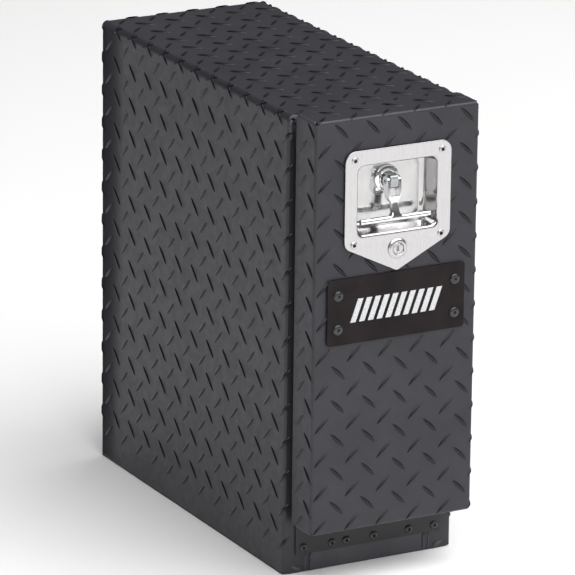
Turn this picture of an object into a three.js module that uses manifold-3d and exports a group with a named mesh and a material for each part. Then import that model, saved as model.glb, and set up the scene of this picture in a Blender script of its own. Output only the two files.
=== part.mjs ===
// Truck tool box: a tall, narrow tread-plate cabinet with a drop-down door on its narrow end.
//
// Millimetres, +Z up. The door faces -Y. While it is built, X = 0 is the middle of the
// width, Y = 0 is the front plane of the cabinet and Z = 0 is its underside. The last
// lines move the whole box so that its origin is the middle of its own footprint.

import * as THREE from 'three';
import { mergeVertices } from 'three/addons/utils/BufferGeometryUtils.js';
import Module from 'manifold-3d';

const wasm = await Module();
wasm.setup();

// ---------------------------------------------------------------- driving dimensions

const fitGap = 0.3;              // clearance between pieces that meet
const overrun = 1;               // how far a trimming solid runs past what it trims

// Cabinet
const cabinetWidth = 203;
const cabinetDepth = 427;
const cabinetHeight = 502;
const sheet = 2;                 // tread plate, measured between its lugs
const treadHeight = 1.3;         // how far a lug stands above the sheet
const topBend = 7;               // outer radius of the two long top bends
const frontBend = 3;             // outer radius of the bends round the front
const rearBend = 12;             // outer radius where the bottom turns up into the back
const rearUpturn = 14;           // height of the bottom's upturned edge at the back
const sideReturn = 33;           // width of each side panel's return across the front
const headerDepth = 30;          // height of the top panel's return across the front
const sillHeight = 78;           // lower edge of the door opening
const sillLip = 12;              // stiffening lip folded back from the sill
const rainLipHeight = 4.8;       // strip over the gap above the door seal
const rainLipReach = 7.5;
const rainLipRound = 1.5;

// Door
const doorInset = 5;             // door's side edge, in from the cabinet's side
const doorRise = 4.2;            // door's upper edge, above the cabinet's top
const doorDepth = 41.5;
const doorBottom = 57.9;         // height of the door's lower edge
const doorGap = 8.3;             // space between cabinet and door, where the seal works
const doorBend = 3;              // outer bend radius of the door pan
const linerThickness = 1.6;
const linerHole = 22;            // round hole that the spindle passes through
const sealWidth = 13;
const sealInset = 0.8;           // from the door's edge to the seal
const sealFootInset = 4.5;       // the same at the foot, clear of the hinge

// Piano hinge
const hingeInset = 9;            // hinge end, in from the door's side edge
const hingeKnuckles = 7;         // odd, so that both end knuckles are the cabinet's
const knuckleRadius = 2.5;
const hingePinRadius = 1.25;
const leafThickness = 1.2;
const bodyLeafFoot = 20;         // height of the cabinet leaf's lower edge
const doorLeafReach = 33;        // how far the door leaf runs forward under the door
const sillRivetHeight = 27.5;
const leftEndRivetInset = 9.5;   // end rivets of the cabinet leaf, in from the hinge's ends
const rightEndRivetInset = 7;
const middleRivetPlaces = [-44, -26.5, 6.5, 49.5];
const doorLeafRivetPlaces = [-62, -13, 28, 66];
const doorLeafRivetSetback = 19; // from the hinge pin

// Pop rivets: head diameter, head height, shank diameter, mandrel hole diameter
const hingeRivet = { head: 9.5, dome: 1.6, shank: 4.6, hole: 3 };
const badgeRivet = { head: 11.4, dome: 2.2, shank: 4.6, hole: 2.8 };
const latchRivet = { head: 8, dome: 1.1, shank: 3.8, hole: 2.2 };
const rivetTail = 2.4;           // length of the set tail behind the last sheet
const rivetSpread = 1.5;         // how much wider than its shank the tail sets
const rivetCrown = 0.8;          // where the dome turns over, as a part of its size

// Badge plate
const badgeWidth = 163;
const badgeHeight = 71;
const badgeThickness = 1.5;
const badgeDrop = 129.9;         // badge centre, below the spindle
const badgeCorner = 3.5;
const badgeRivetAcross = 138.5;
const badgeRivetUp = 36.5;

// Latch: flanged pan with a folding T-handle
const flangeWidth = 125;
const flangeRise = 41;           // flange's top edge, above the spindle
const shoulderDrop = 62.5;       // where the sides turn in towards the point, below the spindle
const pointDrop = 92;            // bottom point, below the spindle
const flangeCorner = 11;
const flangePointRadius = 5;
const flangeThickness = 1.5;
const latchRivetAcross = 103;
const latchRivetRise = 31;       // upper rivets, above the spindle
const latchRivetDrop = 59.5;     // lower rivets, below the spindle
const panWidth = 93.6;           // clear inside
const panRise = 23.8;            // pan's top wall, above the spindle
const panDrop = 50.3;            // pan's bottom wall, below the spindle
const panDepth = 25;             // door face to the back of the pan
const panCorner = 6;
const panWall = 1.2;
const gasketThickness = 1;
const gasketInset = 1.5;

// Spindle, bushing and cam
const spindleDrop = 41.9;        // spindle, below the header that its cam catches
const spindleDiameter = 11;
const bushingFlange = 29;        // diameter of the round boss in the pan
const bushingDome = 5;
const bushingNeck = 15.4;
const bushingTail = 7.5;         // how far the neck runs behind the pan
const bushingSlope = 3;          // the dome's slope, across and then back to its rim
const bushingRim = 1.5;
const nutAcrossFlats = 22;
const nutThickness = 4.5;
const headWidth = 9;             // flattened head of the spindle, between the fork arms
const headHeight = 15;
const headLength = 13;
const headRound = 4;
const camThickness = 3;
const camWidth = 16;
const camReach = 50;             // spindle axis to the tip of the cam
const camTail = 11;              // spindle axis to its other end
const camTailRound = 5;
const camNutThickness = 5;
const camNutAcrossFlats = 17;

// T-handle
const pivotSetback = 11;         // pivot pin, behind the door face
const pivotPinDiameter = 4.8;
const pivotPinProud = 1;         // how far each end stands out of the fork
const forkThickness = 3.2;
const forkWidth = 12;
const forkRound = 5.4;
const shankWidth = 7.2;          // front to back, where it meets the bar's eye
const slotBelowHead = 9;         // how far the fork's slot runs on below the spindle head
const eyeLap = 1.5;              // how far the eye stands out past the narrowed shank
const shankClearance = 20;       // how far a cutting block runs past the shank
const barDiameter = 6.2;
const barLength = 84.5;
const barDrop = 37.6;            // bar axis, below the spindle
const barSetback = 2.8;          // bar axis, behind the door face
const barBevel = 1;              // bevel round each end of the bar
const barEyeDiameter = 11;
const barEyeLength = 13;

// Key lock
const lockDrop = 68.8;           // lock axis, below the spindle
const lockBezel = 22.3;
const lockBezelHeight = 2.4;
const bezelBevelAcross = 1.4;
const bezelBevelBack = 1.2;
const lockBarrel = 18.6;
const lockPlug = 12.4;
const plugRecess = 0.5;          // plug face, behind the bezel's
const plugTang = 8;              // width of the square tang that turns the pawl
const keySlotWidth = 1.8;
const keySlotHeight = 7.5;
const keySlotDepth = 6;
const lockNutAcrossFlats = 23;
const lockNutThickness = 4;
const pawlThickness = 2;
const pawlWidth = 12;
const pawlReach = 34;            // lock axis to the tip of the pawl
const pawlTail = 7.2;            // lock axis to its other end
const pawlTailRound = 4.8;
const pawlTipRound = 3.6;
const pawlScrewHead = 9;
const pawlScrewHeight = 3;

const roundSides = 20;           // sides of a turned piece
const rivetSides = 12;           // sides of a rivet and of its hole
const arcSteps = 5;              // straight steps in each rounded corner of an outline

// ---------------------------------------------------------------- worked out from them

const halfWidth = cabinetWidth / 2;
const halfDoor = halfWidth - doorInset;
const doorTop = cabinetHeight + doorRise;
const doorRear = -doorGap;
const doorFace = doorRear - doorDepth;
const openingHalf = halfWidth - sideReturn;
const openingTop = cabinetHeight - headerDepth;

const leafFront = -fitGap - leafThickness;
const pinY = -fitGap - knuckleRadius;
const pinZ = doorBottom - fitGap - knuckleRadius;
const hingeHalf = halfDoor - hingeInset;
const knuckleLength = hingeHalf * 2 / hingeKnuckles;
const sillRivetPlaces = [
  -hingeHalf + leftEndRivetInset,
  ...middleRivetPlaces,
  hingeHalf - rightEndRivetInset,
];

const spindleHeight = openingTop - spindleDrop;
const flangeTop = spindleHeight + flangeRise;
const flangeShoulder = spindleHeight - shoulderDrop;
const flangePoint = spindleHeight - pointDrop;
const latchRivetTop = spindleHeight + latchRivetRise;
const latchRivetFoot = spindleHeight - latchRivetDrop;
const panTop = spindleHeight + panRise;
const panFoot = spindleHeight - panDrop;
const barHeight = spindleHeight - barDrop;
const lockHeight = spindleHeight - lockDrop;
const badgeCentre = spindleHeight - badgeDrop;

const standOff = doorFace - treadHeight;          // where a plate laid over the lugs rests
const flangeFront = standOff - flangeThickness;
const panBack = doorFace + panDepth;
const pivotY = doorFace + pivotSetback;
const bushingFace = panBack - panWall - fitGap - bushingDome;
const camFront = sheet + fitGap * 2;
const pawlFront = panBack + fitGap * 3;

// ---------------------------------------------------------------- finishes

function finish(color, roughness, metalness) {
  return new THREE.MeshStandardMaterial({ color, roughness, metalness });
}

const blackTread = finish(0x4a4a4d, 0.55, 0.1);
const blackSheet = finish(0x4b4a4f, 0.5, 0.1);
const blackHinge = finish(0x35353a, 0.45, 0.2);
const blackRivet = finish(0x56565a, 0.4, 0.3);
const linerSheet = finish(0x8d8f92, 0.5, 0.6);
const rubber = finish(0x1c1c1d, 0.85, 0);
const stainless = finish(0xd7d9dc, 0.25, 1);
const chrome = finish(0xe6e8ea, 0.12, 1);
const zinc = finish(0xb5b8ba, 0.4, 0.9);
const badgeFinish = finish(0x2a2224, 0.25, 0.2);

// ---------------------------------------------------------------- solids

const toolBox = new THREE.Group();
toolBox.name = 'truck_tool_box';

// Shapes stay as solids while they are joined and cut, and become geometry for their mesh.
function piece(name, shape, material) {
  const geometry = shape instanceof wasm.Manifold ? geometryOf(shape) : shape;
  const mesh = new THREE.Mesh(geometry, material);
  mesh.name = name;
  toolBox.add(mesh);
}

function solidOf(shape) {
  if (shape instanceof wasm.Manifold) return shape;
  const bare = shape.clone();
  bare.deleteAttribute('normal');
  bare.deleteAttribute('uv');
  const merged = mergeVertices(bare);
  return new wasm.Manifold(new wasm.Mesh({
    numProp: 3,
    vertProperties: merged.attributes.position.array,
    triVerts: new Uint32Array(merged.index.array),
  }));
}

function geometryOf(solid) {
  const mesh = solid.getMesh();
  const geometry = new THREE.BufferGeometry();
  geometry.setAttribute('position', new THREE.BufferAttribute(mesh.vertProperties, 3));
  geometry.setIndex(new THREE.BufferAttribute(mesh.triVerts, 1));
  geometry.computeVertexNormals();
  return geometry;
}

function join(...shapes) {
  return shapes.map(solidOf).reduce((whole, next) => whole.add(next));
}

function overlapOf(...shapes) {
  return shapes.map(solidOf).reduce((whole, next) => whole.intersect(next));
}

function cut(shape, ...tools) {
  return tools.map(solidOf).reduce((whole, tool) => whole.subtract(tool), solidOf(shape));
}

// A block between two corners.
function block(low, high) {
  const size = high.map((value, axis) => value - low[axis]);
  const geometry = new THREE.BoxGeometry(...size);
  return geometry.translate(...low.map((value, axis) => value + size[axis] / 2));
}

// Outlines are drawn in two of the three axes and pushed along the third.
function pushAlong(axes, outline, from, to) {
  const geometry = new THREE.ExtrudeGeometry(outline, {
    depth: to - from,
    bevelEnabled: false,
    curveSegments: arcSteps,
  });
  const basis = new THREE.Matrix4().makeBasis(...axes);
  const travel = axes[2].clone().multiplyScalar(from);
  return geometry.applyMatrix4(basis).translate(travel.x, travel.y, travel.z);
}

const alongX = new THREE.Vector3(1, 0, 0);
const alongY = new THREE.Vector3(0, 1, 0);
const alongZ = new THREE.Vector3(0, 0, 1);

// Outline in (Y, Z), pushed along X.
function pushX(outline, from, to) {
  return pushAlong([alongY, alongZ, alongX], outline, from, to);
}

// Outline in (X, Y), pushed along Z.
function pushZ(outline, from, to) {
  return pushAlong([alongX, alongY, alongZ], outline, from, to);
}

// Outline in (X, Z), pushed along Y. The mirrored axis keeps the faces pointing out.
function pushY(outline, from, to) {
  const backwards = alongY.clone().negate();
  return pushAlong([alongX, alongZ, backwards], outline, -to, -from);
}

// A closed outline through corners [x, y, radius], each rounded to its own radius.
function rounded(corners) {
  const shape = new THREE.Shape();
  corners.forEach(([x, y, radius], index) => {
    const corner = new THREE.Vector2(x, y);
    const before = corners[(index + corners.length - 1) % corners.length];
    const after = corners[(index + 1) % corners.length];
    const towardsBefore = new THREE.Vector2(before[0] - x, before[1] - y).normalize();
    const towardsAfter = new THREE.Vector2(after[0] - x, after[1] - y).normalize();
    if (radius === 0) {
      if (index === 0) shape.moveTo(x, y);
      else shape.lineTo(x, y);
      return;
    }
    const halfAngle = Math.acos(THREE.MathUtils.clamp(towardsBefore.dot(towardsAfter), -1, 1)) / 2;
    const setback = radius / Math.tan(halfAngle);
    const start = corner.clone().addScaledVector(towardsBefore, setback);
    const end = corner.clone().addScaledVector(towardsAfter, setback);
    const inwards = towardsBefore.clone().add(towardsAfter).normalize();
    const centre = corner.clone().addScaledVector(inwards, radius / Math.sin(halfAngle));
    const turnsLeft = towardsBefore.cross(towardsAfter) < 0;
    if (index === 0) shape.moveTo(start.x, start.y);
    else shape.lineTo(start.x, start.y);
    const startAngle = Math.atan2(start.y - centre.y, start.x - centre.x);
    const endAngle = Math.atan2(end.y - centre.y, end.x - centre.x);
    shape.absarc(centre.x, centre.y, radius, startAngle, endAngle, !turnsLeft);
  });
  shape.closePath();
  return shape;
}

function roundedRectangle(left, foot, right, top, radius) {
  return rounded([
    [left, foot, radius], [right, foot, radius], [right, top, radius], [left, top, radius],
  ]);
}

function evenSided(x, y, radius, sides) {
  const corners = Array.from({ length: sides }, (_, index) => {
    const angle = index * 2 * Math.PI / sides;
    return new THREE.Vector2(x + radius * Math.cos(angle), y + radius * Math.sin(angle));
  });
  return new THREE.Shape(corners);
}

function circle(x, y, radius) {
  return evenSided(x, y, radius, roundSides);
}

function hexagon(x, y, acrossFlats) {
  return evenSided(x, y, acrossFlats / Math.sqrt(3), 6);
}

// A round bar between two places along one axis.
function rod(radius, from, to, axis, centre, sides = roundSides) {
  const geometry = new THREE.CylinderGeometry(radius, radius, to - from, sides);
  geometry.translate(0, (from + to) / 2, 0);
  if (axis === alongX) geometry.rotateZ(-Math.PI / 2);
  if (axis === alongZ) geometry.rotateX(Math.PI / 2);
  return geometry.translate(...centre);
}

// A turned piece about a line along Y. Profile points are [radius, y], ending on the line.
function turned(profile, x, z) {
  const points = profile.map(([radius, y]) => new THREE.Vector2(radius, y));
  return new THREE.LatheGeometry(points, roundSides).translate(x, 0, z);
}

// A set pop rivet whose head rests at h = 0 and looks along +Y, drawn in place of the axis.
function popRivet(kind, grip) {
  const head = kind.head / 2;
  const shank = kind.shank / 2;
  const hole = kind.hole / 2;
  const profile = [
    [0, -grip - rivetTail],
    [shank * rivetSpread, -grip - rivetTail],
    [shank * rivetSpread, -grip - fitGap],
    [shank, -grip - fitGap],
    [shank, 0],
    [head, 0],
    [head * rivetCrown, kind.dome * rivetCrown],
    [hole, kind.dome],
    [hole, -grip / 2],
    [0, -grip / 2],
  ];
  const points = profile.map(([radius, h]) => new THREE.Vector2(radius, h));
  return new THREE.LatheGeometry(points, rivetSides);
}

// The hole that a rivet passes through, along Y or Z.
function rivetHole(kind, from, to, axis, centre) {
  return rod(kind.shank / 2 + fitGap, from, to, axis, centre, rivetSides);
}

function rivetHoleOutline(kind, x, z) {
  return evenSided(x, z, kind.shank / 2 + fitGap, rivetSides);
}

// ---------------------------------------------------------------- cabinet

// Each side is one sheet with a return across the front. Its lower rear corner follows the
// bend of the bottom.
function sidePanel(side) {
  const outer = side * halfWidth;
  const top = cabinetHeight - topBend - fitGap;
  const section = [
    [outer, 0, frontBend],
    [side * openingHalf, 0, 0],
    [side * openingHalf, sheet, 0],
    [outer - side * sheet, sheet, 0],
    [outer - side * sheet, cabinetDepth + overrun, 0],
    [outer, cabinetDepth + overrun, 0],
  ];
  const folded = pushZ(rounded(side > 0 ? section.reverse() : section), -overrun, top + overrun);
  const sideOutline = rounded([
    [-overrun, 0, 0], [cabinetDepth, 0, rearBend], [cabinetDepth, top, 0], [-overrun, top, 0],
  ]);
  const sideView = pushX(sideOutline, -halfWidth - overrun, halfWidth + overrun);
  return cut(overlapOf(folded, sideView), ...sillRivetHoles());
}

// The top is bent down along both sides and returned across the front as a header.
function topPanel() {
  const archOutline = (inset, foot) => rounded([
    [-halfWidth + inset, foot, 0],
    [halfWidth - inset, foot, 0],
    [halfWidth - inset, cabinetHeight - inset, topBend - inset],
    [-halfWidth + inset, cabinetHeight - inset, topBend - inset],
  ]);
  const shoulder = cabinetHeight - topBend;
  const arch = cut(
    pushY(archOutline(0, shoulder), -overrun, cabinetDepth + overrun),
    pushY(archOutline(sheet, shoulder - overrun), sheet, cabinetDepth + overrun * 2),
  );
  const headerHalf = openingHalf - fitGap;
  const header = block([-headerHalf, -overrun, openingTop], [headerHalf, sheet, shoulder + overrun]);
  const sideView = pushX(rounded([
    [0, openingTop - overrun, 0], [cabinetDepth, openingTop - overrun, 0],
    [cabinetDepth, cabinetHeight + overrun, 0], [0, cabinetHeight + overrun, 0],
  ]), -halfWidth - overrun, halfWidth + overrun);
  return overlapOf(join(arch, header), sideView);
}

// The bottom turns up at the back in one wide bend.
function bottomPanel() {
  const half = halfWidth - sheet - fitGap;
  const section = rounded([
    [sheet + fitGap, 0, 0],
    [cabinetDepth, 0, rearBend],
    [cabinetDepth, rearUpturn, 0],
    [cabinetDepth - sheet, rearUpturn, 0],
    [cabinetDepth - sheet, sheet, rearBend - sheet],
    [sheet + fitGap, sheet, 0],
  ]);
  return pushX(section, -half, half);
}

function backPanel() {
  const half = halfWidth - sheet - fitGap;
  const outline = rounded([
    [-half, rearUpturn + fitGap, 0],
    [half, rearUpturn + fitGap, 0],
    [half, cabinetHeight - sheet - fitGap, topBend - sheet],
    [-half, cabinetHeight - sheet - fitGap, topBend - sheet],
  ]);
  return pushY(outline, cabinetDepth - sheet, cabinetDepth);
}

// Smooth plate under the door, between the side returns, with a lip along its top.
function sillPlate() {
  const half = openingHalf - fitGap;
  const section = rounded([
    [0, 0, 0], [sheet, 0, 0], [sheet, sillHeight - sheet, 0], [sillLip, sillHeight - sheet, 0],
    [sillLip, sillHeight, 0], [0, sillHeight, frontBend],
  ]);
  return cut(pushX(section, -half, half), ...sillRivetHoles());
}

function sillRivetHoles() {
  return sillRivetPlaces.map((x) => rivetHole(hingeRivet, leafFront - overrun, sheet + overrun, alongY, [
    x, 0, sillRivetHeight,
  ]));
}

piece('left_side_panel', sidePanel(-1), blackTread);
piece('right_side_panel', sidePanel(1), blackTread);
piece('top_panel', topPanel(), blackTread);
piece('bottom_panel', bottomPanel(), blackTread);
piece('back_panel', backPanel(), blackTread);
piece('sill_plate', sillPlate(), blackSheet);

// Strip across the top of the front that sheds water over the seal.
piece('rain_lip', pushX(rounded([
  [-rainLipReach, cabinetHeight - frontBend - rainLipHeight, 0],
  [-fitGap, cabinetHeight - frontBend - rainLipHeight, 0],
  [-fitGap, cabinetHeight - frontBend, 0],
  [-rainLipReach, cabinetHeight - frontBend, rainLipRound],
]), -halfWidth + topBend, halfWidth - topBend), blackSheet);

// ---------------------------------------------------------------- door pan, liner and seal

// A solid with its front edges bent to one radius, open behind to any depth.
function panSolid(half, foot, top, front, rear, radius) {
  const plan = rounded([
    [-half, front, radius], [half, front, radius], [half, rear + overrun, 0], [-half, rear + overrun, 0],
  ]);
  const elevation = rounded([
    [front, foot, radius], [rear, foot, 0], [rear, top, 0], [front, top, radius],
  ]);
  return overlapOf(
    pushZ(plan, foot - overrun, top + overrun),
    pushX(elevation, -half - overrun, half + overrun),
  );
}

const doorLeafRivetY = pinY - doorLeafRivetSetback;

function doorLeafRivetHoles() {
  return doorLeafRivetPlaces.map((x) => rivetHole(
    hingeRivet, doorBottom - knuckleRadius, doorBottom + sheet + overrun, alongZ, [x, doorLeafRivetY, 0],
  ));
}

const badgeRivetPlaces = [-1, 1].flatMap((up) => [-1, 1].map((across) => [
  across * badgeRivetAcross / 2, badgeCentre + up * badgeRivetUp / 2,
]));

const latchRivetPlaces = [latchRivetFoot, latchRivetTop].flatMap((z) => [
  [-latchRivetAcross / 2, z], [latchRivetAcross / 2, z],
]);

// Holes through everything that lies on the door's face.
const faceHoles = (kind, places) => places.map(([x, z]) => rivetHole(
  kind, flangeFront - overrun, doorFace + sheet + overrun, alongY, [x, 0, z],
));
const lockHole = () => rod(
  lockBarrel / 2 + fitGap, flangeFront - overrun, doorFace + sheet + overrun, alongY, [0, 0, lockHeight],
);

function panOutline(grow) {
  return roundedRectangle(
    -panWidth / 2 - grow, panFoot - grow, panWidth / 2 + grow, panTop + grow, panCorner + grow,
  );
}

function doorSkin() {
  const outside = panSolid(halfDoor, doorBottom, doorTop, doorFace, doorRear, doorBend);
  const insideHalf = halfDoor - sheet;
  const insideRear = doorRear + overrun;
  const inside = panSolid(
    insideHalf, doorBottom + sheet, doorTop - sheet, doorFace + sheet, insideRear, doorBend - sheet,
  );
  return cut(
    outside,
    inside,
    pushY(panOutline(panWall + fitGap), doorFace - overrun, doorFace + sheet + overrun),
    lockHole(),
    ...faceHoles(badgeRivet, badgeRivetPlaces),
    ...faceHoles(latchRivet, latchRivetPlaces),
    ...doorLeafRivetHoles(),
  );
}

function doorLiner() {
  const half = halfDoor - sheet - fitGap;
  const sheetSolid = block(
    [-half, doorRear - linerThickness, doorBottom + sheet + fitGap],
    [half, doorRear, doorTop - sheet - fitGap],
  );
  const hole = rod(
    linerHole / 2, doorRear - linerThickness - overrun, doorRear + overrun, alongY, [0, 0, spindleHeight],
  );
  return cut(sheetSolid, hole);
}

// A rubber frame that closes the gap round the opening, under the rain lip.
function doorSeal() {
  const half = halfDoor - sealInset;
  const foot = doorBottom + sealFootInset;
  const top = cabinetHeight - frontBend - rainLipHeight - fitGap * 2;
  const outer = roundedRectangle(-half, foot, half, top, sealWidth / 2);
  outer.holes.push(roundedRectangle(
    -half + sealWidth, foot + sealWidth, half - sealWidth, top - sealWidth, sealWidth / 4,
  ));
  return pushY(outer, doorRear + fitGap, -fitGap);
}

piece('door_skin', doorSkin(), blackTread);
piece('door_liner', doorLiner(), linerSheet);
piece('door_seal', doorSeal(), rubber);

// ---------------------------------------------------------------- piano hinge

// Which stretches of the hinge line carry one leaf's knuckles: even ones are the cabinet's.
function knuckleSpans(first) {
  const spans = [];
  for (let index = first; index < hingeKnuckles; index += 2) {
    const start = -hingeHalf + index * knuckleLength;
    spans.push([start + fitGap / 2, start + knuckleLength - fitGap / 2]);
  }
  return spans;
}

function hingeLeaf(plate, first) {
  const line = [0, pinY, pinZ];
  const knuckles = knuckleSpans(first).map(([from, to]) => rod(knuckleRadius, from, to, alongX, line));
  const clearance = knuckleSpans(1 - first).map(([from, to]) => rod(
    knuckleRadius + fitGap, from - fitGap, to + fitGap, alongX, line,
  ));
  const bore = rod(
    hingePinRadius + fitGap, -hingeHalf - overrun, hingeHalf + overrun, alongX, line,
  );
  return cut(join(plate, ...knuckles), bore, ...clearance);
}

const bodyLeaf = hingeLeaf(cut(
  block([-hingeHalf, leafFront, bodyLeafFoot], [hingeHalf, -fitGap, pinZ]),
  ...sillRivetHoles(),
), 0);

const doorLeafTop = pinZ + knuckleRadius;
const doorLeafFoot = doorLeafTop - leafThickness;
const doorLeaf = hingeLeaf(cut(
  block([-hingeHalf, pinY - doorLeafReach, doorLeafFoot], [hingeHalf, pinY, doorLeafTop]),
  ...doorLeafRivetHoles(),
), 1);

piece('hinge_body_leaf', bodyLeaf, blackHinge);
piece('hinge_door_leaf', doorLeaf, blackHinge);
piece('hinge_pin', rod(hingePinRadius, -hingeHalf, hingeHalf, alongX, [0, pinY, pinZ]), zinc);

sillRivetPlaces.forEach((x, index) => {
  const rivet = popRivet(hingeRivet, leafThickness + sheet + fitGap * 2);
  rivet.rotateZ(Math.PI).translate(x, leafFront - fitGap, sillRivetHeight);
  piece(`sill_rivet_${index + 1}`, rivet, blackRivet);
});

doorLeafRivetPlaces.forEach((x, index) => {
  const rivet = popRivet(hingeRivet, leafThickness + sheet + fitGap * 2);
  rivet.rotateX(-Math.PI / 2).translate(x, doorLeafRivetY, doorLeafFoot - fitGap);
  piece(`door_leaf_rivet_${index + 1}`, rivet, blackRivet);
});

// ---------------------------------------------------------------- badge plate

const badgeFoot = badgeCentre - badgeHeight / 2;
const badgeOutline = roundedRectangle(
  -badgeWidth / 2, badgeFoot, badgeWidth / 2, badgeFoot + badgeHeight, badgeCorner,
);
badgeRivetPlaces.forEach(([x, z]) => badgeOutline.holes.push(rivetHoleOutline(badgeRivet, x, z)));
piece('badge_plate', pushY(badgeOutline, standOff - badgeThickness, standOff), badgeFinish);

badgeRivetPlaces.forEach(([x, z], index) => {
  const rivet = popRivet(badgeRivet, badgeThickness + treadHeight + sheet + fitGap);
  rivet.rotateZ(Math.PI).translate(x, standOff - badgeThickness - fitGap, z);
  piece(`badge_rivet_${index + 1}`, rivet, blackRivet);
});

// ---------------------------------------------------------------- latch pan and gasket

function flangeOutline(inset) {
  const half = flangeWidth / 2 - inset;
  return rounded([
    [0, flangePoint + inset, flangePointRadius],
    [half, flangeShoulder + inset / 2, flangeCorner],
    [half, flangeTop - inset, flangeCorner],
    [-half, flangeTop - inset, flangeCorner],
    [-half, flangeShoulder + inset / 2, flangeCorner],
  ]);
}

function latchPan() {
  const outside = join(
    pushY(flangeOutline(0), flangeFront, standOff),
    pushY(panOutline(panWall), standOff - flangeThickness / 2, panBack),
  );
  return cut(
    outside,
    pushY(panOutline(0), flangeFront - overrun, panBack - panWall),
    rod(
      bushingNeck / 2 + fitGap, panBack - panWall - overrun, panBack + overrun, alongY,
      [0, 0, spindleHeight],
    ),
    lockHole(),
    ...faceHoles(latchRivet, latchRivetPlaces),
  );
}

function latchGasket() {
  const outline = flangeOutline(gasketInset);
  outline.holes.push(panOutline(panWall + fitGap));
  outline.holes.push(circle(0, lockHeight, lockBarrel / 2 + fitGap));
  latchRivetPlaces.forEach(([x, z]) => outline.holes.push(rivetHoleOutline(latchRivet, x, z)));
  const middle = (standOff + doorFace) / 2;
  return pushY(outline, middle - gasketThickness / 2, middle + gasketThickness / 2);
}

piece('latch_pan', latchPan(), stainless);
piece('latch_gasket', latchGasket(), rubber);

latchRivetPlaces.forEach(([x, z], index) => {
  const rivet = popRivet(latchRivet, flangeThickness + treadHeight + sheet + fitGap);
  rivet.rotateZ(Math.PI).translate(x, flangeFront - fitGap, z);
  piece(`latch_rivet_${index + 1}`, rivet, stainless);
});

// ---------------------------------------------------------------- bushing, spindle and cam

// The bushing is the round boss in the pan. Its neck passes through the pan to a nut.
const bushingBore = spindleDiameter / 2 + fitGap;
piece('spindle_bushing', turned([
  [bushingBore, bushingFace],
  [bushingFlange / 2 - bushingSlope, bushingFace],
  [bushingFlange / 2, bushingFace + bushingDome - bushingRim],
  [bushingFlange / 2, bushingFace + bushingDome],
  [bushingNeck / 2, bushingFace + bushingDome],
  [bushingNeck / 2, panBack + bushingTail],
  [bushingBore, panBack + bushingTail],
  [bushingBore, bushingFace],
], 0, spindleHeight), chrome);

function hexNut(acrossFlats, boreRadius, from, thickness, z) {
  const outline = hexagon(0, z, acrossFlats);
  outline.holes.push(circle(0, z, boreRadius));
  return pushY(outline, from, from + thickness);
}

piece('bushing_nut', hexNut(
  nutAcrossFlats, bushingNeck / 2 + fitGap, panBack + fitGap, nutThickness, spindleHeight,
), zinc);

const headRear = bushingFace - fitGap;
const headFront = headRear - headLength;
const camRear = camFront + camThickness;
const spindleEnd = camRear + camNutThickness + fitGap * 4;

function spindle() {
  const head = pushX(rounded([
    [headFront, spindleHeight - headHeight / 2, headRound],
    [headRear, spindleHeight - headHeight / 2, 0],
    [headRear, spindleHeight + headHeight / 2, 0],
    [headFront, spindleHeight + headHeight / 2, headRound],
  ]), -headWidth / 2, headWidth / 2);
  const shaft = rod(spindleDiameter / 2, headRear - overrun, spindleEnd, alongY, [0, 0, spindleHeight]);
  const pinHole = rod(
    pivotPinDiameter / 2 + fitGap, -headWidth, headWidth, alongX, [0, pivotY, spindleHeight],
  );
  return cut(join(head, shaft), pinHole);
}

// The cam is a flat arm with a round tip. It stands up behind the header when latched.
function cam() {
  const outline = rounded([
    [-camWidth / 2, spindleHeight - camTail, camTailRound],
    [camWidth / 2, spindleHeight - camTail, camTailRound],
    [camWidth / 2, spindleHeight + camReach, camWidth / 2 - fitGap],
    [-camWidth / 2, spindleHeight + camReach, camWidth / 2 - fitGap],
  ]);
  outline.holes.push(circle(0, spindleHeight, spindleDiameter / 2 + fitGap));
  return pushY(outline, camFront, camRear);
}

piece('latch_spindle', spindle(), chrome);
piece('latch_cam', cam(), zinc);
piece('cam_nut', hexNut(
  camNutAcrossFlats, spindleDiameter / 2 + fitGap, camRear + fitGap, camNutThickness, spindleHeight,
), zinc);

// ---------------------------------------------------------------- T-handle

// The shank is a fork over the spindle head that runs down and forward to the bar's eye.
function handleShank() {
  const barY = doorFace + barSetback;
  const lean = Math.atan2(pivotY - barY, spindleHeight - barHeight);
  const reach = Math.hypot(pivotY - barY, spindleHeight - barHeight);
  const half = forkWidth / 2;
  const side = rounded([
    [-half, half, forkRound],
    [-shankWidth / 2, -reach, 0],
    [shankWidth / 2, -reach, 0],
    [half, half, forkRound],
  ]);
  const outerHalf = headWidth / 2 + fitGap + forkThickness;
  const upright = pushX(side, -outerHalf, outerHalf);
  upright.rotateX(-lean).translate(0, pivotY, spindleHeight);
  const eye = rod(barEyeDiameter / 2, -barEyeLength / 2, barEyeLength / 2, alongX, [0, barY, barHeight]);
  const slotFoot = spindleHeight - headHeight / 2 - slotBelowHead;
  const slotHalf = headWidth / 2 + fitGap;
  const cutFront = headFront - shankClearance;
  const cutRear = headRear + shankClearance;
  const slot = block([-slotHalf, cutFront, slotFoot], [slotHalf, cutRear, spindleHeight + headHeight]);
  const waistHalf = barEyeLength / 2 - eyeLap;
  const pastHalf = outerHalf + overrun;
  const waist = [[-pastHalf, -waistHalf], [waistHalf, pastHalf]].map(([left, right]) => block(
    [left, cutFront, barHeight - shankClearance], [right, cutRear, slotFoot - forkThickness],
  ));
  return cut(
    join(cut(upright, ...waist), eye),
    slot,
    rod(pivotPinDiameter / 2 + fitGap, -pastHalf, pastHalf, alongX, [0, pivotY, spindleHeight]),
    rod(barDiameter / 2 + fitGap, -barLength, barLength, alongX, [0, barY, barHeight]),
  );
}

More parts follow.
